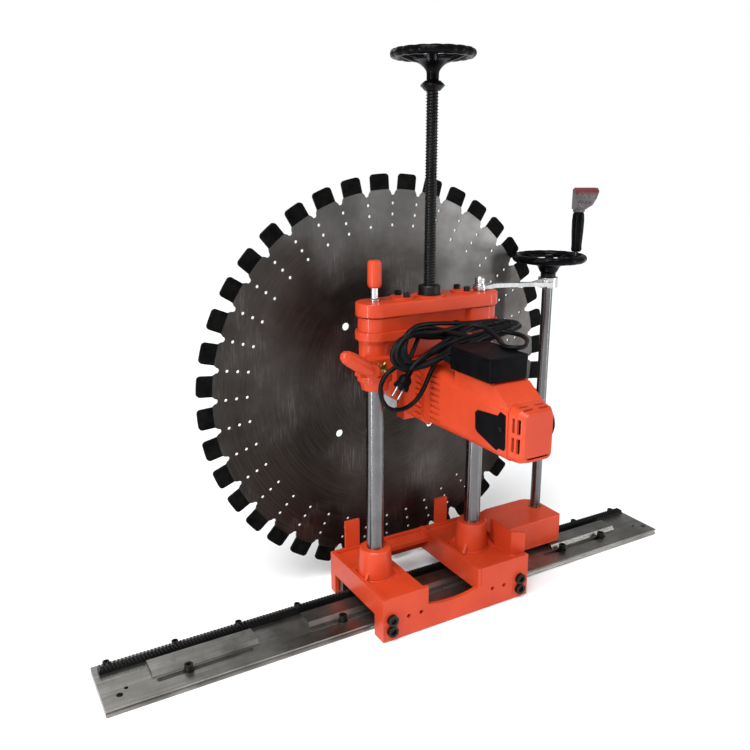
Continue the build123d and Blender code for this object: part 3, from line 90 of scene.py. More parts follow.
def ramp(tree, value, stops):
    """A colour ramp: stops are (position, (r, g, b))."""
    node = tree.nodes.new("ShaderNodeValToRGB")
    elements = node.color_ramp.elements
    while len(elements) > len(stops):
        elements.remove(elements[-1])
    while len(elements) < len(stops):
        elements.new(0.5)
    for element, (position, colour) in zip(elements, stops):
        element.position = position
        element.color = (*colour, 1.0)
    link(tree, value, node.inputs["Fac"])
    return node.outputs["Color"]


def remap(tree, value, low, high, to_low, to_high):
    node = tree.nodes.new("ShaderNodeMapRange")
    node.inputs["From Min"].default_value = low
    node.inputs["From Max"].default_value = high
    node.inputs["To Min"].default_value = to_low
    node.inputs["To Max"].default_value = to_high
    link(tree, value, node.inputs["Value"])
    return node.outputs["Result"]


def arithmetic(tree, operation, a, b=0.0):
    node = tree.nodes.new("ShaderNodeMath")
    node.operation = operation
    for socket, value in zip(node.inputs, (a, b)):
        if isinstance(value, (int, float)):
            socket.default_value = value
        else:
            link(tree, value, socket)
    return node.outputs[0]


def mix_colour(tree, factor, a, b):
    node = tree.nodes.new("ShaderNodeMix")
    node.data_type = "RGBA"
    sockets = {s.identifier: s for s in node.inputs}
    for key, value in (("Factor_Float", factor), ("A_Color", a), ("B_Color", b)):
        socket = sockets[key]
        if isinstance(value, (int, float)):
            socket.default_value = value
        elif isinstance(value, tuple):
            socket.default_value = (*value, 1.0)
        else:
            link(tree, value, socket)
    return [s for s in node.outputs if s.identifier == "Result_Color"][0]


def stretched(tree, coordinates, scale, rotation=(0.0, 0.0, 0.0)):
    """Coordinates scaled by a different amount along each axis, to draw a texture out."""
    node = tree.nodes.new("ShaderNodeMapping")
    node.inputs["Scale"].default_value = scale
    node.inputs["Rotation"].default_value = rotation
    link(tree, coordinates, node.inputs["Vector"])
    return node.outputs["Vector"]


def bump(tree, heights):
    """Chained bumps: heights are (value socket, strength, distance in metres)."""
    normal = None
    for value, strength, distance in heights:
        node = tree.nodes.new("ShaderNodeBump")
        node.inputs["Strength"].default_value = strength
        node.inputs["Distance"].default_value = distance
        link(tree, value, node.inputs["Height"])
        if normal is not None:
            link(tree, normal, node.inputs["Normal"])
        normal = node.outputs["Normal"]
    return normal


def new_material(name, metallic=0.0, **constants):
    """A material with its Principled shader and object coordinates."""
    material = bpy.data.materials.new(name)
    material.use_nodes = True
    tree = material.node_tree
    shader = tree.nodes["Principled BSDF"]
    shader.inputs["Metallic"].default_value = metallic
    for key, value in constants.items():
        shader.inputs[key.replace("_", " ").title().replace("Ior", "IOR")].default_value = value
    where = tree.nodes.new("ShaderNodeTexCoord").outputs["Object"]
    return material, tree, shader, where


def edge_mask(tree, radius):
    """1 on sharp edges and 0 on flats, from how far a rounded normal leaves the true one."""
    rounded = tree.nodes.new("ShaderNodeBevel")
    rounded.samples = 4
    rounded.inputs["Radius"].default_value = radius
    true = tree.nodes.new("ShaderNodeNewGeometry")
    dot = tree.nodes.new("ShaderNodeVectorMath")
    dot.operation = "DOT_PRODUCT"
    link(tree, rounded.outputs["Normal"], dot.inputs[0])
    link(tree, true.outputs["Normal"], dot.inputs[1])
    return remap(tree, arithmetic(tree, "SUBTRACT", 1.0, dot.outputs["Value"]), 0.05, 0.5, 0.0, 1.0)


# ---------------------------------------------------------------- materials
def orange_paint():
    """Sprayed gloss paint over castings and welded plates, a little dusty, with lighter edges that are partly
    a painted highlight and partly paint worn thin.
    """
    material, tree, shader, where = new_material("paint_orange", coat_weight=0.15, coat_roughness=0.10,
                                                 specular_ior_level=0.2)
    patches = noise(tree, where, 9.0, 5.0)
    colour = ramp(tree, patches, [(0.3, (0.44, 0.037, 0.010)), (0.55, (0.52, 0.048, 0.014)),
                                  (0.8, (0.58, 0.063, 0.020))])
    grime = remap(tree, noise(tree, where, 46.0, 8.0, 0.7), 0.60, 0.78, 0.0, 0.22)
    colour = mix_colour(tree, grime, colour, (0.36, 0.045, 0.018))
    # Lighter patches along sharp edges: a painted highlight on the rounded edges, and also paint worn thin
    # there.
    edge_wear_and_highlight = arithmetic(tree, "MULTIPLY", edge_mask(tree, 0.0012),
                      remap(tree, noise(tree, where, 160.0, 6.0, 0.7), 0.50, 0.66, 0.0, 0.55))
    colour = mix_colour(tree, edge_wear_and_highlight, colour, (0.90, 0.32, 0.17))
    link(tree, colour, shader.inputs["Base Color"])
    link(tree, remap(tree, noise(tree, where, 70.0, 5.0), 0.3, 0.7, 0.30, 0.46), shader.inputs["Roughness"])
    orange_peel = noise(tree, where, 420.0, 2.0)
    casting = noise(tree, where, 60.0, 4.0)
    link(tree, bump(tree, [(casting, 0.10, 0.0012), (orange_peel, 0.10, 0.0004)]), shader.inputs["Normal"])
    return material


ACROSS_GRAIN, ALONG_GRAIN = 260.0, 9.0      # scales of the grain's noise


def machined_metal(name, dark, light, rough, grain_axis, stains, metallic=1.0):
    """Metal: grain drawn out along one axis, blotches of colour and roughness, dark stains."""
    material, tree, shader, where = new_material(name, metallic=metallic)
    scale = [ACROSS_GRAIN] * 3
    scale[grain_axis] = ALONG_GRAIN
    grain = noise(tree, stretched(tree, where, scale), 1.0, 3.0)
    blotch = noise(tree, where, 14.0, 6.0, 0.6)
    colour = ramp(tree, blotch, [(0.32, dark), (0.68, light)])
    colour = mix_colour(tree, remap(tree, grain, 0.35, 0.65, 0.0, 0.35), colour,
                        tuple(0.62 * c for c in dark))
    spots = remap(tree, noise(tree, where, 30.0, 8.0, 0.75), 0.56, 0.72, 0.0, stains)
    colour = mix_colour(tree, spots, colour, tuple(0.35 * c for c in dark))
    link(tree, colour, shader.inputs["Base Color"])
    mixed = arithmetic(tree, "ADD", arithmetic(tree, "MULTIPLY", grain, 0.5),
                       arithmetic(tree, "MULTIPLY", blotch, 0.5))
    link(tree, remap(tree, mixed, 0.35, 0.65, *rough), shader.inputs["Roughness"])
    link(tree, bump(tree, [(grain, 0.15, 0.0003)]), shader.inputs["Normal"])
    return material


def blade_steel():
    """The ground disc: circular scratches, darker and browner round the middle, patches of sanding marks,
    and painted light: a tone that gets lighter towards the top right."""
    material, tree, shader, where = new_material("blade_steel", metallic=1.0, anisotropic=0.3)
    split = tree.nodes.new("ShaderNodeSeparateXYZ")
    link(tree, where, split.inputs[0])
    low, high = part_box("blade_core")
    centre = (low + high) / 2
    dx = arithmetic(tree, "SUBTRACT", split.outputs["X"], centre.x)
    dz = arithmetic(tree, "SUBTRACT", split.outputs["Z"], centre.z)
    squared = arithmetic(tree, "ADD", arithmetic(tree, "MULTIPLY", dx, dx),
                         arithmetic(tree, "MULTIPLY", dz, dz))
    radius = arithmetic(tree, "SQRT", squared)
    angle = arithmetic(tree, "ARCTAN2", dz, dx)
    polar = tree.nodes.new("ShaderNodeCombineXYZ")
    link(tree, arithmetic(tree, "MULTIPLY", radius, 700.0), polar.inputs[0])
    link(tree, arithmetic(tree, "MULTIPLY", arithmetic(tree, "COSINE", angle), 3.0), polar.inputs[1])
    link(tree, arithmetic(tree, "MULTIPLY", arithmetic(tree, "SINE", angle), 3.0), polar.inputs[2])
    scratches = noise(tree, polar.outputs["Vector"], 1.0, 3.0)
    cloud = noise(tree, where, 4.0, 5.0, 0.55)
    # Painted light: the base colour is made lighter towards the top right of the disc, where more light
    # falls.
    painted_light_gradient = arithmetic(tree, "ADD", dz, arithmetic(tree, "MULTIPLY", dx, 0.6))
    tone = arithmetic(tree, "ADD", cloud, remap(tree, painted_light_gradient, -0.35, 0.42, -0.10, 0.16))
    colour = ramp(tree, tone, [(0.34, (0.028, 0.023, 0.020)), (0.52, (0.068, 0.062, 0.058)),
                               (0.66, (0.125, 0.121, 0.118)), (0.80, (0.26, 0.255, 0.25))])
    # Darker and browner round the middle, fading out 0.34 m from the centre, patchy with the cloud.
    darker_middle = remap(tree, radius, 0.12, 0.34, 0.65, 0.0)
    darker_middle = arithmetic(tree, "MULTIPLY", darker_middle, remap(tree, cloud, 0.3, 0.7, 1.0, 0.4))
    colour = mix_colour(tree, darker_middle, colour, (0.022, 0.017, 0.015))
    colour = mix_colour(tree, remap(tree, scratches, 0.42, 0.66, 0.0, 0.10), colour, (0.20, 0.195, 0.19))
    sanding = stretched(tree, where, (420.0, 60.0, 26.0), (0.0, 0.5, 0.0))
    marks = remap(tree, noise(tree, sanding, 1.0, 4.0, 0.7), 0.50, 0.72, 0.0, 1.0)
    patches = remap(tree, noise(tree, where, 8.0, 3.0), 0.52, 0.66, 0.0, 0.55)
    marks = arithmetic(tree, "MULTIPLY", marks, patches)
    colour = mix_colour(tree, marks, colour, (0.22, 0.215, 0.21))
    link(tree, colour, shader.inputs["Base Color"])
    wipe = noise(tree, where, 26.0, 6.0, 0.65)
    link(tree, remap(tree, arithmetic(tree, "ADD", scratches, wipe), 0.8, 1.25, 0.34, 0.48),
         shader.inputs["Roughness"])
    link(tree, bump(tree, [(scratches, 0.05, 0.0001)]), shader.inputs["Normal"])
    tangent = tree.nodes.new("ShaderNodeTangent")
    tangent.direction_type = "RADIAL"
    tangent.axis = "Y"
    link(tree, tangent.outputs["Tangent"], shader.inputs["Tangent"])
    return material


def segment_black():
    """Sintered diamond segments, painted black, with grit showing through."""
    material, tree, shader, where = new_material("segment_diamond", specular_ior_level=0.03)
    grit = noise(tree, where, 900.0, 3.0)
    colour = ramp(tree, noise(tree, where, 60.0, 6.0), [(0.35, (0.0015, 0.0015, 0.0015)),
                                                        (0.7, (0.006, 0.006, 0.0055))])
    link(tree, mix_colour(tree, remap(tree, grit, 0.64, 0.76, 0.0, 0.3), colour, (0.05, 0.045, 0.04)),
         shader.inputs["Base Color"])
    link(tree, remap(tree, grit, 0.3, 0.7, 0.38, 0.62), shader.inputs["Roughness"])
    link(tree, bump(tree, [(grit, 0.5, 0.0005)]), shader.inputs["Normal"])
    return material


def chrome():
    """Hard chrome on ground rods: what it reflects is drawn out along their length."""
    material, tree, shader, where = new_material("column_chrome", metallic=1.0, anisotropic=0.9)
    along = tree.nodes.new("ShaderNodeCombineXYZ")
    along.inputs[2].default_value = 1.0
    link(tree, along.outputs[0], shader.inputs["Tangent"])
    streaks = noise(tree, stretched(tree, where, (300.0, 300.0, 6.0)), 1.0, 3.0)
    smear = noise(tree, where, 22.0, 6.0, 0.6)
    link(tree, ramp(tree, smear, [(0.3, (0.13, 0.13, 0.135)), (0.7, (0.19, 0.19, 0.195))]),
         shader.inputs["Base Color"])
    link(tree, remap(tree, arithmetic(tree, "ADD", streaks, smear), 0.75, 1.3, 0.20, 0.30),
         shader.inputs["Roughness"])
    link(tree, bump(tree, [(streaks, 0.04, 0.0002)]), shader.inputs["Normal"])
    return material


def plastic(name, dark, light, rough, texture=0.25, texture_scale=900.0, shine=0.04):
    """Moulded plastic or painted cast iron: fine texture, small shifts of tone."""
    material, tree, shader, where = new_material(name, specular_ior_level=shine)
    tone = noise(tree, where, 35.0, 5.0)
    grain = noise(tree, where, texture_scale, 2.0)
    colour = ramp(tree, tone, [(0.3, dark), (0.7, light)])
    scuff = remap(tree, noise(tree, where, 120.0, 8.0, 0.75), 0.64, 0.76, 0.0, 0.35)
    lifted = tuple(min(1.0, 2.0 * c + 0.004) for c in light)
    link(tree, mix_colour(tree, scuff, colour, lifted), shader.inputs["Base Color"])
    link(tree, remap(tree, tone, 0.3, 0.7, *rough), shader.inputs["Roughness"])
    link(tree, bump(tree, [(grain, texture, 0.0003)]), shader.inputs["Normal"])
    return material


def speckled_cap():
    """The grip's end knob: grey moulding with small dark spots, red over its top."""
    material, tree, shader, where = new_material("grip_grey", specular_ior_level=0.3)
    heights = [corner[2] for corner in nodes["grip_cap"].bound_box]
    low, high = min(heights), max(heights)
    split = tree.nodes.new("ShaderNodeSeparateXYZ")
    link(tree, where, split.inputs[0])
    spots = tree.nodes.new("ShaderNodeTexVoronoi")
    spots.inputs["Scale"].default_value = 210.0
    link(tree, where, spots.inputs["Vector"])
    colour = ramp(tree, noise(tree, where, 45.0, 5.0), [(0.3, (0.070, 0.060, 0.062)),
                                                        (0.7, (0.14, 0.125, 0.13))])
    dot = remap(tree, spots.outputs["Distance"], 0.22, 0.34, 1.0, 0.0)
    colour = mix_colour(tree, dot, colour, (0.012, 0.010, 0.011))
    reach = low + 0.72 * (high - low)
    red = remap(tree, split.outputs["Z"], reach, reach + 0.006, 0.0, 0.85)
    colour = mix_colour(tree, red, colour, (0.12, 0.010, 0.011))
    link(tree, colour, shader.inputs["Base Color"])
    shader.inputs["Roughness"].default_value = 0.38
    link(tree, bump(tree, [(noise(tree, where, 700.0, 2.0), 0.2, 0.0003)]), shader.inputs["Normal"])
    return material


def cord_rubber():
    """Black cable sheath: slightly greasy, with fine lengthwise wrinkles."""
    material, tree, shader, where = new_material("cord_rubber", specular_ior_level=0.10)
    tone = noise(tree, where, 60.0, 5.0)
    link(tree, ramp(tree, tone, [(0.3, (0.0025, 0.0025, 0.003)), (0.7, (0.007, 0.007, 0.008))]),
         shader.inputs["Base Color"])
    link(tree, remap(tree, tone, 0.3, 0.7, 0.28, 0.42), shader.inputs["Roughness"])
    link(tree, bump(tree, [(noise(tree, where, 500.0, 3.0), 0.2, 0.0003)]), shader.inputs["Normal"])
    return material


def brass():
    material, tree, shader, where = new_material("valve_brass", metallic=1.0)
    tone = noise(tree, where, 90.0, 6.0, 0.65)
    colour = ramp(tree, tone, [(0.3, (0.38, 0.22, 0.065)), (0.55, (0.70, 0.47, 0.17)),
                               (0.75, (0.85, 0.64, 0.30))])
    link(tree, colour, shader.inputs["Base Color"])
    link(tree, remap(tree, tone, 0.3, 0.7, 0.40, 0.18), shader.inputs["Roughness"])
    link(tree, bump(tree, [(noise(tree, where, 700.0, 2.0), 0.2, 0.0002)]), shader.inputs["Normal"])
    return material


MATERIALS = {
    "paint_orange": orange_paint(),
    "blade_steel": blade_steel(),
    "segment_diamond": segment_black(),
    "column_chrome": chrome(),
    "cord_rubber": cord_rubber(),
    "valve_brass": brass(),
    "track_steel": machined_metal("track_steel", (0.19, 0.183, 0.165), (0.36, 0.35, 0.33),
                                  (0.30, 0.48), 0, 0.6),
    "arm_steel": machined_metal("arm_steel", (0.55, 0.55, 0.55), (0.78, 0.78, 0.79), (0.12, 0.30), 2, 0.3),
    "steel_black": machined_metal("steel_black", (0.006, 0.006, 0.006), (0.022, 0.021, 0.020),
                                  (0.32, 0.48), 2, 0.5, metallic=0.7),
    "screw_black": machined_metal("screw_black", (0.003, 0.003, 0.003), (0.010, 0.010, 0.010),
                                  (0.28, 0.42), 2, 0.3, metallic=0.6),
    "shoe_steel": machined_metal("shoe_steel", (0.16, 0.16, 0.16), (0.32, 0.32, 0.33), (0.28, 0.45), 2, 0.5),
    "gear_steel": machined_metal("gear_steel", (0.30, 0.30, 0.31), (0.52, 0.52, 0.53), (0.20, 0.38), 2, 0.3),
    "core_steel": machined_metal("core_steel", (0.12, 0.12, 0.13), (0.26, 0.26, 0.28), (0.35, 0.5), 1, 0.2),
    "bronze": machined_metal("bronze", (0.30, 0.17, 0.07), (0.50, 0.32, 0.14), (0.25, 0.42), 2, 0.3),
    "black_plastic": plastic("black_plastic", (0.0015, 0.0015, 0.002), (0.004, 0.004, 0.005), (0.32, 0.45)),
    "wheel_black": plastic("wheel_black", (0.001, 0.001, 0.0015), (0.003, 0.003, 0.004), (0.20, 0.30),
                           texture=0.06, texture_scale=500.0, shine=0.06),
    "grip_grey": speckled_cap(),
}


def paint(obj, slot):
    """Gives a piece or a CAD node the material of one of the record's slots."""
    obj.data.materials.clear()
    obj.data.materials.append(MATERIALS[slot])


def paint_cad_nodes():
    for entry in frame["record"]["subparts"]:
        paint(nodes[entry["node"]], entry["material_slot"])


# ---------------------------------------------------------------- piece kit
def finish_piece(obj, body, slot, replaced=()):
    """Puts a piece on its body with its material, and hides the CAD nodes that it stands for."""
    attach(obj, body)
    paint(obj, slot)
    if replaced:
        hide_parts(*replaced)
    return obj


def add_object(name, data):
    obj = bpy.data.objects.new(name, data)
    bpy.context.scene.collection.objects.link(obj)
    return obj


def smooth_by_angle(obj, degrees):
    """Smooth shading with edges sharper than an angle kept sharp."""
    mesh = obj.data
    mesh.shade_smooth()
    bm = bmesh.new()
    bm.from_mesh(mesh)
    limit = math.radians(degrees)
    for edge in bm.edges:
        edge.smooth = len(edge.link_faces) == 2 and edge.calc_face_angle(0.0) < limit
    bm.to_mesh(mesh)
    bm.free()


# ---------------------------------------------------------------- mesh kit
def turned(profile, origin, axis=(0, 0, 1), count=48):
    """Rings of a turned shape: the profile is (radius, height) points along the axis, in millimetres."""
    across = Vector(axis).to_track_quat("Z", "Y")
    rings = []
    for radius, height in profile:
        ring = []
        for i in range(count):
            angle = 2 * math.pi * i / count
            local = Vector((radius * math.cos(angle), radius * math.sin(angle), height))
            ring.append(Vector(origin) + across @ local)
        rings.append(ring)
    return rings


def skin(rings, endless=False):
    """Vertices and faces of a tube through rings of equal count; its ends are capped unless it is endless."""
    count = len(rings[0])
    verts = [point for ring in rings for point in ring]
    faces = []
    for r in range(len(rings) if endless else len(rings) - 1):
        a, b = r * count, ((r + 1) % len(rings)) * count
        faces += [(a + i, a + (i + 1) % count, b + (i + 1) % count, b + i) for i in range(count)]
    if not endless:
        faces.append(tuple(reversed(range(count))))
        faces.append(tuple((len(rings) - 1) * count + i for i in range(count)))
    return verts, faces


def build_piece(name, shells, body, slot, replaced=(), sharp=40.0):
    """One piece from several skins in millimetres."""
    verts, faces = [], []
    for shell_verts, shell_faces in shells:
        first = len(verts)
        verts += [tuple(v * MM) for v in shell_verts]
        faces += [tuple(first + i for i in face) for face in shell_faces]
    mesh = bpy.data.meshes.new(name)
    mesh.from_pydata(verts, [], faces)
    bm = bmesh.new()
    bm.from_mesh(mesh)
    bmesh.ops.recalc_face_normals(bm, faces=bm.faces)
    bm.to_mesh(mesh)
    bm.free()
    obj = add_object(name, mesh)
    smooth_by_angle(obj, sharp)
    return finish_piece(obj, body, slot, replaced)


def tube_along(points, radii, count=10):
    """Rings round a line of points, each with its own radius."""
    rings = []
    for i, point in enumerate(points):
        before, after = points[max(i - 1, 0)], points[min(i + 1, len(points) - 1)]
        across = (after - before).to_track_quat("Z", "Y")
        rings.append([point + across @ Vector((radii[i] * math.cos(t), radii[i] * math.sin(t), 0))
                      for t in (2 * math.pi * k / count for k in range(count))])
    return rings


# ---------------------------------------------------------------- feed screw and handwheels
SCREW_X, SCREW_Y, SCREW_LEAD, CREST_R, ROOT_R = 12.4, -8.5, 5.0, 11.0, 9.3
THREAD_LOW, THREAD_HIGH, RUN_OUT = 577.6, 955.0, 4.0
RINGS_PER_TURN, POINTS_PER_RING = 12, 28


def make_threaded_screw():
    """The feed screw with a trapezoidal thread, 22 mm across with a 5 mm lead."""
    low, high, centre = THREAD_LOW, THREAD_HIGH, (SCREW_X, SCREW_Y, 0)
    rings = turned([(7.9, 546), (7.9, 554.3), (14, 554.3), (14, 567.7), (7.95, 567.7), (7.95, low)], centre,
                   count=POINTS_PER_RING)
    steps = int((high - low) / SCREW_LEAD * RINGS_PER_TURN)
    for k in range(steps + 1):
        z = low + (high - low) * k / steps
        fade = min(1.0, (z - low) / RUN_OUT, (high - z) / RUN_OUT)
        ring = []
        for i in range(POINTS_PER_RING):
            turn = i / POINTS_PER_RING
            phase = (z / SCREW_LEAD - turn) % 1.0
            depth = min(1.0, max(0.0, 2.8 - 6.4 * abs(phase - 0.5)))
            radius = CREST_R - (CREST_R - ROOT_R) * depth * fade
            angle = 2 * math.pi * turn
            ring.append(Vector((SCREW_X + radius * math.cos(angle), SCREW_Y + radius * math.sin(angle), z)))
        rings.append(ring)
    rings += turned([(7.5, high), (7.5, 1002)], centre, count=POINTS_PER_RING)
    build_piece("threaded_screw", [skin(rings)], "lift_screw", "screw_black", ("lead_screw",), 30.0)


def rim_shell(centre, radius, rim_r, waves, depth):
    """A round rim with finger waves pressed into its outer side."""
    rings = []
    major = radius - rim_r
    for k in range(waves * 8):
        phi = 2 * math.pi * k / (waves * 8)
        press = depth * (0.5 - 0.5 * math.cos(waves * phi)) ** 2
        ring = []
        for i in range(16):
            t = 2 * math.pi * i / 16
            reach = major + (rim_r * math.cos(t) - press * max(0.0, math.cos(t)))
            rise = rim_r * math.sin(t) * (1 - 0.06 * press)
            ring.append(Vector(centre) + Vector((reach * math.cos(phi), reach * math.sin(phi), rise)))
        rings.append(ring)
    return skin(rings, endless=True)


def spoke_shell(centre, angle, start, end, widths, drop):
    """A flat oval spoke that bows down on its way to the hub: start and end are (radius, height)."""
    rings = []
    for k in range(9):
        share = k / 8
        radius = start[0] + (end[0] - start[0]) * share
        height = start[1] + (end[1] - start[1]) * share - drop * math.sin(math.pi * share)
        half_w = widths[0] + (widths[1] - widths[0]) * share
        middle = Vector((radius * math.cos(angle), radius * math.sin(angle), height))
        side = Vector((-math.sin(angle), math.cos(angle), 0))
        ring = []
        for i in range(14):
            t = 2 * math.pi * i / 14
            ring.append(Vector(centre) + middle + side * (half_w * math.cos(t))
                        + Vector((0, 0, 3.6 * math.sin(t))))
        rings.append(ring)
    return skin(rings)


def hexagon_shell(centre, radius, low, high):
    profile = [(radius * 0.93, low), (radius, low + 0.6), (radius, high - 1.2), (radius * 0.86, high)]
    return skin(turned(profile, centre, count=6))


def make_handwheel(name, body, centre, radius, rim_r, hub, waves, depth, replaced):
    """A cast wheel with five spokes, a turned hub and a nut on top."""
    shells = [rim_shell(centre, radius, rim_r, waves, depth)]
    shells.append(skin(turned(hub, centre)))
    for i in range(5):
        angle = 2 * math.pi * i / 5 + 0.3
        shells.append(spoke_shell(centre, angle, (radius - 1.6 * rim_r, -0.5), (13, -12.5), (7.5, 9.0), 2.5))
    top = hub[-1][1]
    shells.append(skin(turned([(11, top - 0.5), (11, top + 1.4), (9.5, top + 1.8)], centre)))
    shells.append(hexagon_shell(centre, 9.2, top + 1.6, top + 8.0))
    build_piece(name, shells, body, "wheel_black", replaced, 35.0)


# Each wheel's centre, and its hub's profile as (radius, height) round that centre
LIFT_CENTRE, LIFT_HUB = (SCREW_X, SCREW_Y, 1007.0), [
    (9.4, -41.5), (10.4, -40.5), (10.4, -31), (11.0, -28), (12.8, -24.5), (16.2, -20.5), (21, -16.5),
    (28, -13), (36, -10.6), (37, -9.2), (36, -7.8), (28, -8.6), (20, -8.2), (15.5, -5.5), (14, -3)]
TRAVERSE_CENTRE, TRAVERSE_HUB = (355.5, 62.0, 641.0), [
    (14.2, -31.5), (15.4, -31.2), (17.4, -29), (19.6, -25), (22, -19.5), (26, -15), (32, -11.6), (33, -10.2),
    (32, -8.8), (24, -9.2), (18.5, -7.8), (15, -4.5), (14, -2)]


# ---------------------------------------------------------------- weld beads
RIPPLE_LENGTH = 1.4
DECK_WELD_Z, SOCKET_WELD_Z, SOCKET_WELD_R = 79.4, 79.6, 34.6


def weld(name, points, body, radius=2.0, closed=False):
    """A rippled weld bead along a line of points in millimetres."""
    corners = [Vector(p) for p in points]
    if closed:
        corners.append(corners[0])
    line = []
    for a, b in zip(corners, corners[1:]):
        steps = max(1, int((b - a).length / RIPPLE_LENGTH))
        line += [a.lerp(b, k / steps) for k in range(steps)]
    line.append(corners[-1])
    radii = [radius * (0.86 + 0.16 * math.sin(2.1 * k) + 0.05 * math.sin(0.63 * k + 1.0))
             for k in range(len(line))]
    build_piece(name, [skin(tube_along(line, radii, 8))], body, "paint_orange", (), 60.0)


def circle_points(x, y, z, radius, count=48):
    angles = [2 * math.pi * k / count for k in range(count)]
    return [(x + radius * math.cos(angle), y + radius * math.sin(angle), z) for angle in angles]


def make_welds():
    weld("weld_left_socket", circle_points(-100.1, -8.5, SOCKET_WELD_Z, SOCKET_WELD_R), "carriage", 2.2, True)
    weld("weld_right_socket", circle_points(124.9, -8.5, SOCKET_WELD_Z, SOCKET_WELD_R), "carriage", 2.2, True)
    weld("weld_front_left", [(-133, -102.6, DECK_WELD_Z), (-48, -102.6, DECK_WELD_Z)], "carriage")
    weld("weld_front_right", [(76, -102.6, DECK_WELD_Z), (164, -102.6, DECK_WELD_Z)], "carriage")
    weld("weld_left_end", [(-133.8, -102, DECK_WELD_Z), (-133.8, 87, DECK_WELD_Z)], "carriage")
    weld("weld_rear", [(-133, 87.6, DECK_WELD_Z), (180, 87.6, DECK_WELD_Z)], "carriage")
    weld("weld_gearbox_front", [(189.0, -2.6, 24), (189.0, -2.6, 82)], "carriage", 2.4)
    weld("weld_gearbox_top", [(188.8, 0, 83.4), (188.8, 84, 83.4)], "carriage", 2.0)
    weld("weld_guard", [(165.2, -20, 79.5), (165.2, -85, 79.5), (184, -98.8, 79.5)], "carriage", 1.8)


# ---------------------------------------------------------------- plug and box details
PLUG_BACK, PLUG_DIRECTION = (-84.0, -101.0, 500.0), (-0.62, -0.10, -0.78)


def make_plug():
    """A moulded two-pin plug: ribbed neck, waisted grip with flutes, flat round face."""
    across = Vector(PLUG_DIRECTION).to_track_quat("Z", "Y")
    profile = [(4.4, 0), (5.2, 0.4), (5.2, 1.6), (4.5, 2.0), (4.5, 3.2), (5.5, 3.6), (5.5, 5.0), (4.8, 5.4),
               (4.8, 6.6), (5.9, 7.0), (5.9, 8.6), (5.2, 9.0), (5.4, 10.4), (7.2, 12.2), (9.6, 14.6),
               (11.6, 18), (11.2, 22), (11.4, 26), (12.6, 29.5), (13.4, 31.2), (13.4, 35.0), (12.6, 36)]
    rings = []
    for radius, height in profile:
        flute = 0.55 if 15 < height < 29 else 0.0
        ring = []
        for i in range(60):
            angle = 2 * math.pi * i / 60
            r = radius - flute * (0.5 - 0.5 * math.cos(15 * angle))
            local = Vector((r * math.cos(angle), r * math.sin(angle), height))
            ring.append(Vector(PLUG_BACK) + across @ local)
        rings.append(ring)
    build_piece("plug_moulding", [skin(rings)], "head", "black_plastic", ("plug_body",), 50.0)


def rounded_rectangle(x0, x1, y0, y1, z, radius, count=8):
    points = []
    for cx, cy, start in ((x1 - radius, y1 - radius, 0), (x0 + radius, y1 - radius, 90),
                          (x0 + radius, y0 + radius, 180), (x1 - radius, y0 + radius, 270)):
        for k in range(count + 1):
            t = math.radians(start + 90 * k / count)
            points.append(Vector((cx + radius * math.cos(t), cy + radius * math.sin(t), z)))
    return points


def make_box_lid():
    """The lid's rim: a slightly proud band with a soft edge round the top of the control box."""
    bands = [(0.0, 533.5), (0.5, 534.0), (0.5, 541.0), (-0.4, 543.2), (-2.0, 544.3), (-4.0, 544.45)]
    rings = [rounded_rectangle(-33 - g, 42 + g, -250 - g, -140 + g, z, 5 + max(g, -3)) for g, z in bands]
    build_piece("box_lid", [skin(rings)], "head", "black_plastic", (), 30.0)


# ---------------------------------------------------------------- mains cord
CORD_DIAMETER = 8 * MM
# The free run: from the strain relief round the hanging loop
CORD_ROUTE = [(-24, -116, 516), (-24, -108, 516), (-29.6, -97, 507.6), (-40.6, -96, 489), (-50, -95, 467),
              (-60, -92, 447), (-78, -90, 432), (-103, -89, 427.5), (-124, -88, 437), (-135, -88, 459),
              (-134, -88, 481), (-122, -89, 498), (-103, -90, 507), (-80, -92, 513)]
# Stations of the bundle: centre, then its half width and its half depth as vectors
HANK_STATIONS = [
    ((-110, -85, 520), (0, -6, -22), (0, -4, 1)),
    ((-92, -85, 525), (0, -9, -28), (0, -5, 2)),
    ((-70, -84, 531), (0, -12, -33), (0, -8, 3)),
    ((-40, -84, 536), (0, -20, -29), (0, -8.5, 6)),
    ((0, -85, 538), (0, -24, -21), (0, -8, 9)),
    ((35, -88, 542), (0, -25, -10), (0, -4, 10)),
    ((75, -90, 549), (0, -27, -3), (0, -1, 9)),
    ((112, -94, 553), (0, -29, 0), (0, 0, 6)),
    ((140, -96, 554), (0, -27, 0), (0, 0, 4))]
# One turn each: distance from the bundle's middle, depth, how far it reaches left and right, and whether
# its two runs cross over half-way
HANK_TURNS = [(0.97, -0.7, -108, 128, True), (0.72, 0.5, -92, 142, False), (0.90, 0.1, -101, 134, True),
              (0.72, -0.2, -86, 79, True), (0.98, 0.7, -111, 138, False), (0.80, -0.6, -96, 146, False),
              (0.86, 0.35, -104, 121, True), (0.74, 0.9, -89, 130, False), (0.93, -0.3, -106, 124, True)]
# The oval loop that lies over the box's edge; it takes the place of one turn's right end
SIDE_LOOP = [(78, -108, 551), (93, -121, 550), (103, -138, 549), (105, -156, 548.6), (97, -178, 548.6),
             (82, -199, 548.6), (62.4, -217.6, 548.6), (54.6, -223.3, 548.6), (45.1, -224.3, 548.6),
             (36.4, -220.4, 548.6), (30.7, -212.6, 548.6), (29.7, -203.1, 548.6), (33.6, -194.4, 548.6),
             (44, -176, 548.6), (55, -155, 549), (62, -134, 550.5), (65, -114, 555), (62, -98, 559),
             (51, -84, 559)]
SIDE_LOOP_TURN = 3
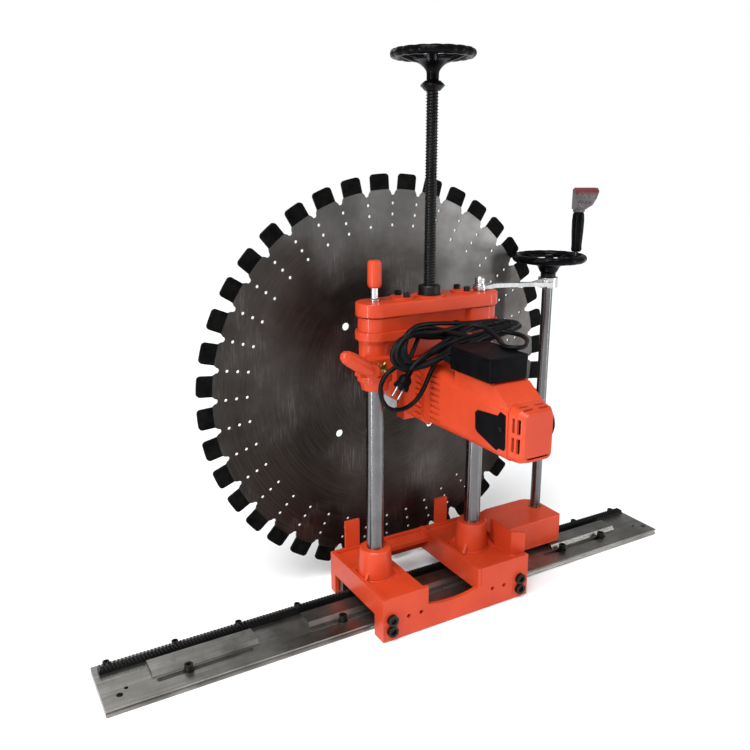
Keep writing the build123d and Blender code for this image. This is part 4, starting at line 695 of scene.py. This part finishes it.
# Where the points of a run lie along it: closer near the bends
RUN_STEPS = (0.0, 0.11, 0.32, 0.68, 0.89, 1.0)
HANK_START, HANK_LEAVES, TO_PLUG = -35, -20, [(-38, -100, 530), (-60, -101, 520)]
CROSSING_FROM, CROSSING_LENGTH = 15, 75     # the stretch where a turn's two runs swap sides
GATHERED_AT, GATHERED_WIDTH = 14, 38        # where the turns are drawn together


def station(x):
    """The bundle's centre, half width and half depth at one place along it."""
    rows = HANK_STATIONS
    x = min(max(x, rows[0][0][0]), rows[-1][0][0])
    for before, after in zip(rows, rows[1:]):
        if x <= after[0][0]:
            share = (x - before[0][0]) / (after[0][0] - before[0][0])
            return [Vector(a).lerp(Vector(b), share) for a, b in zip(before, after)]


def hank_point(x, side, share, depth, crossing, gathered):
    """A point of the bundle. side is -1 above and 1 below; a crossing turn swaps sides half-way, and a
    gathered one keeps nearer to the bundle's middle there."""
    centre, width, deep = station(x)
    swing = math.pi * min(max((x + CROSSING_FROM) / CROSSING_LENGTH, 0), 1) if crossing else 0.0
    share *= 1 - gathered * math.exp(-((x + GATHERED_AT) / GATHERED_WIDTH) ** 2)
    offset = width * (share * side * math.cos(swing)) + deep * (depth + 0.8 * share * side * math.sin(swing))
    point = centre + offset
    point.x = x
    return point


def hank_end(tip, inner, share, depth, crossing, sides, next_share=None, next_depth=None):
    """The bend at one end, as a half oval from one side to the other, where it may meet the next turn."""
    points = []
    for k in range(1, 6):
        part = k / 6
        angle = math.pi * part
        s = share if next_share is None else share + (next_share - share) * part
        d = depth if next_depth is None else depth + (next_depth - depth) * part
        x = inner + (tip - inner) * math.sin(angle)
        centre, width, deep = station(x)
        point = centre + width * (s * sides * math.cos(angle)) + deep * d
        point.x = x
        points.append(point)
    return points


def make_hank_points():
    """The points of every turn, from the end of the free run to where the cord leaves for its plug."""
    points = []
    start = HANK_START
    for number, (share, depth, left, right, crossing) in enumerate(HANK_TURNS):
        inner_left = left + 1.05 * share * station(left)[1].length
        inner_right = right - 1.05 * share * station(right)[1].length
        gathered = 0.0 if number % 2 == 0 else 0.4 + 0.12 * (number % 3)
        shape = (share, depth, crossing, gathered)
        points += [hank_point(start + (inner_right - start) * part, -1, *shape) for part in RUN_STEPS]
        back_steps = RUN_STEPS
        if number == SIDE_LOOP_TURN:
            points += [Vector(p) for p in SIDE_LOOP]
            back_steps = RUN_STEPS[2:]
        else:
            points += hank_end(right, inner_right, share, depth, crossing, 1 if crossing else -1)
        last = number == len(HANK_TURNS) - 1
        for part in back_steps:
            x = inner_right + (inner_left - inner_right) * part
            if not last or x > HANK_LEAVES:
                points.append(hank_point(x, 1, *shape))
        if not last:
            following = HANK_TURNS[number + 1]
            points += hank_end(left, inner_left, share, depth, crossing, 1, following[0], following[1])
            start = inner_left
    return points


def make_cord():
    points = [Vector(p) for p in CORD_ROUTE] + make_hank_points()
    back, along = Vector(PLUG_BACK), Vector(PLUG_DIRECTION)
    points += [Vector(p) for p in TO_PLUG] + [back - along * 9, back + along * 1.5]
    curve = bpy.data.curves.new("power_cord_run", "CURVE")
    curve.dimensions = "3D"
    curve.bevel_depth = 1.0
    curve.bevel_resolution = 6
    curve.resolution_u = 8
    curve.use_fill_caps = True
    spline = curve.splines.new("NURBS")
    spline.points.add(len(points) - 1)
    for target, point in zip(spline.points, points):
        target.co = (*(point * MM), 1.0)
        target.radius = CORD_DIAMETER / 2
    spline.order_u = 3
    spline.use_endpoint_u = True
    cord = add_object("power_cord_run", curve)
    finish_piece(cord, "head", "cord_rubber", ("power_cord", "cord_hank"))


# ---------------------------------------------------------------- softer edges on the CAD nodes
SOFT_EDGE_ANGLE = 35.0      # degrees; only sharper edges are rounded
# How far each node's edges are rounded, in millimetres
SOFT_EDGES = {
    "carriage_frame": 0.8, "top_plate": 0.8, "head_casting": 1.2, "gearbox_housing": 1.5, "splash_guard": 0.8,
    "gear_case": 0.9, "motor_housing": 0.8, "motor_cap": 1.2, "box_bracket": 1.5, "side_panels": 0.6,
    "control_box": 0.8, "track_plate": 0.5, "guide_shoes": 0.8, "support_arm": 0.8, "grip_cap": 2.5,
    "clamp_lever": 1.0, "screw_nut": 0.5, "anchor_screws": 0.4, "shoe_screws": 0.5, "plate_screws": 0.4,
    "flange_screws": 0.4, "rack_screws": 0.4, "blade_segments": 0.5, "lock_knob": 0.6}


def soften_cad_nodes():
    """Rounds the CAD nodes' edges with a modifier, so that they catch the light."""
    for node, width in SOFT_EDGES.items():
        bevel = nodes[node].modifiers.new("soft_edges", "BEVEL")
        bevel.width = width * MM
        bevel.segments = 2
        bevel.limit_method = "ANGLE"
        bevel.angle_limit = math.radians(SOFT_EDGE_ANGLE)
        bevel.use_clamp_overlap = True
        bevel.harden_normals = True


# ---------------------------------------------------------------- studio
FLOOR_HALF = 9.0
SUN_POWER, SUN_ANGLE, SUN_DIRECTION = 2.75, 36.0, (0.42, 0.36, -1.0)
# Area lights: place, where they aim, sizes in metres and power in watts
AREA_LIGHTS = {
    "strip": ((-1.36, -0.42, 0.62), (-0.05, 0.0, 0.40), (0.10, 1.15), 9.0),
    "side_strip": ((1.25, -1.05, 0.62), (0.05, 0.0, 0.40), (0.10, 1.15), 5.0),
    "key": ((-2.4, -2.2, 2.2), (0.0, 0.0, 0.4), (0.9, 2.0), 32.0),
    "fill": ((2.6, -2.0, 1.5), (0.0, 0.0, 0.4), (0.8, 1.8), 12.0),
    "rim": ((-0.6, 3.0, 2.2), (0.0, 0.0, 0.5), (1.8, 1.4), 14.0)}


def make_floor():
    mesh = bpy.data.meshes.new("floor")
    far = FLOOR_HALF
    mesh.from_pydata([(-far, -far, 0), (far, -far, 0), (far, far, 0), (-far, far, 0)], [], [(0, 1, 2, 3)])
    floor = add_object("floor", mesh)
    floor.location.z = -0.0005
    material, _, shader, _ = new_material("floor_white")
    shader.inputs["Base Color"].default_value = (0.95, 0.95, 0.95, 1.0)
    shader.inputs["Roughness"].default_value = 0.9
    shader.inputs["Specular IOR Level"].default_value = 0.1
    mesh.materials.append(material)


def make_world():
    """Even grey light from all round, which the camera sees as white."""
    world = bpy.data.worlds.new("studio")
    bpy.context.scene.world = world
    world.use_nodes = True
    tree = world.node_tree
    background = tree.nodes["Background"]
    background.inputs["Color"].default_value = (0.34, 0.345, 0.355, 1.0)
    background.inputs["Strength"].default_value = 1.0
    backdrop = tree.nodes.new("ShaderNodeBackground")
    backdrop.inputs["Color"].default_value = (1.0, 1.0, 1.0, 1.0)
    seen = tree.nodes.new("ShaderNodeLightPath")
    mix = tree.nodes.new("ShaderNodeMixShader")
    link(tree, seen.outputs["Is Camera Ray"], mix.inputs[0])
    link(tree, background.outputs[0], mix.inputs[1])
    link(tree, backdrop.outputs[0], mix.inputs[2])
    link(tree, mix.outputs[0], tree.nodes["World Output"].inputs["Surface"])
    bpy.context.scene.view_settings.view_transform = "Standard"


def add_sun():
    data = bpy.data.lights.new("soft_sun", "SUN")
    data.energy = SUN_POWER
    data.angle = math.radians(SUN_ANGLE)
    sun = add_object("soft_sun", data)
    sun.rotation_mode = "QUATERNION"
    sun.rotation_quaternion = Vector(SUN_DIRECTION).to_track_quat("-Z", "Y")


def add_area_light(name, place, aim, size, power):
    data = bpy.data.lights.new(name, "AREA")
    data.shape = "RECTANGLE"
    data.size, data.size_y = size
    data.energy = power
    light = add_object(name, data)
    light.visible_camera = False
    light.location = place
    light.rotation_mode = "QUATERNION"
    light.rotation_quaternion = (Vector(aim) - Vector(place)).to_track_quat("-Z", "Y")


def make_studio():
    make_floor()
    make_world()
    add_sun()
    for name, settings in AREA_LIGHTS.items():
        add_area_light(name, *settings)


make_camera()
paint_cad_nodes()
soften_cad_nodes()
make_threaded_screw()
make_handwheel("lift_wheel_cast", "lift_screw", LIFT_CENTRE, 72.0, 7.5, LIFT_HUB, 18, 1.5,
               ("lift_handwheel",))
make_handwheel("traverse_wheel_cast", "traverse_wheel", TRAVERSE_CENTRE, 76.0, 8.0, TRAVERSE_HUB, 16, 1.0,
               ("traverse_handwheel",))
make_welds()
make_box_lid()
make_plug()
make_cord()
make_studio()

bpy.context.view_layer.update()
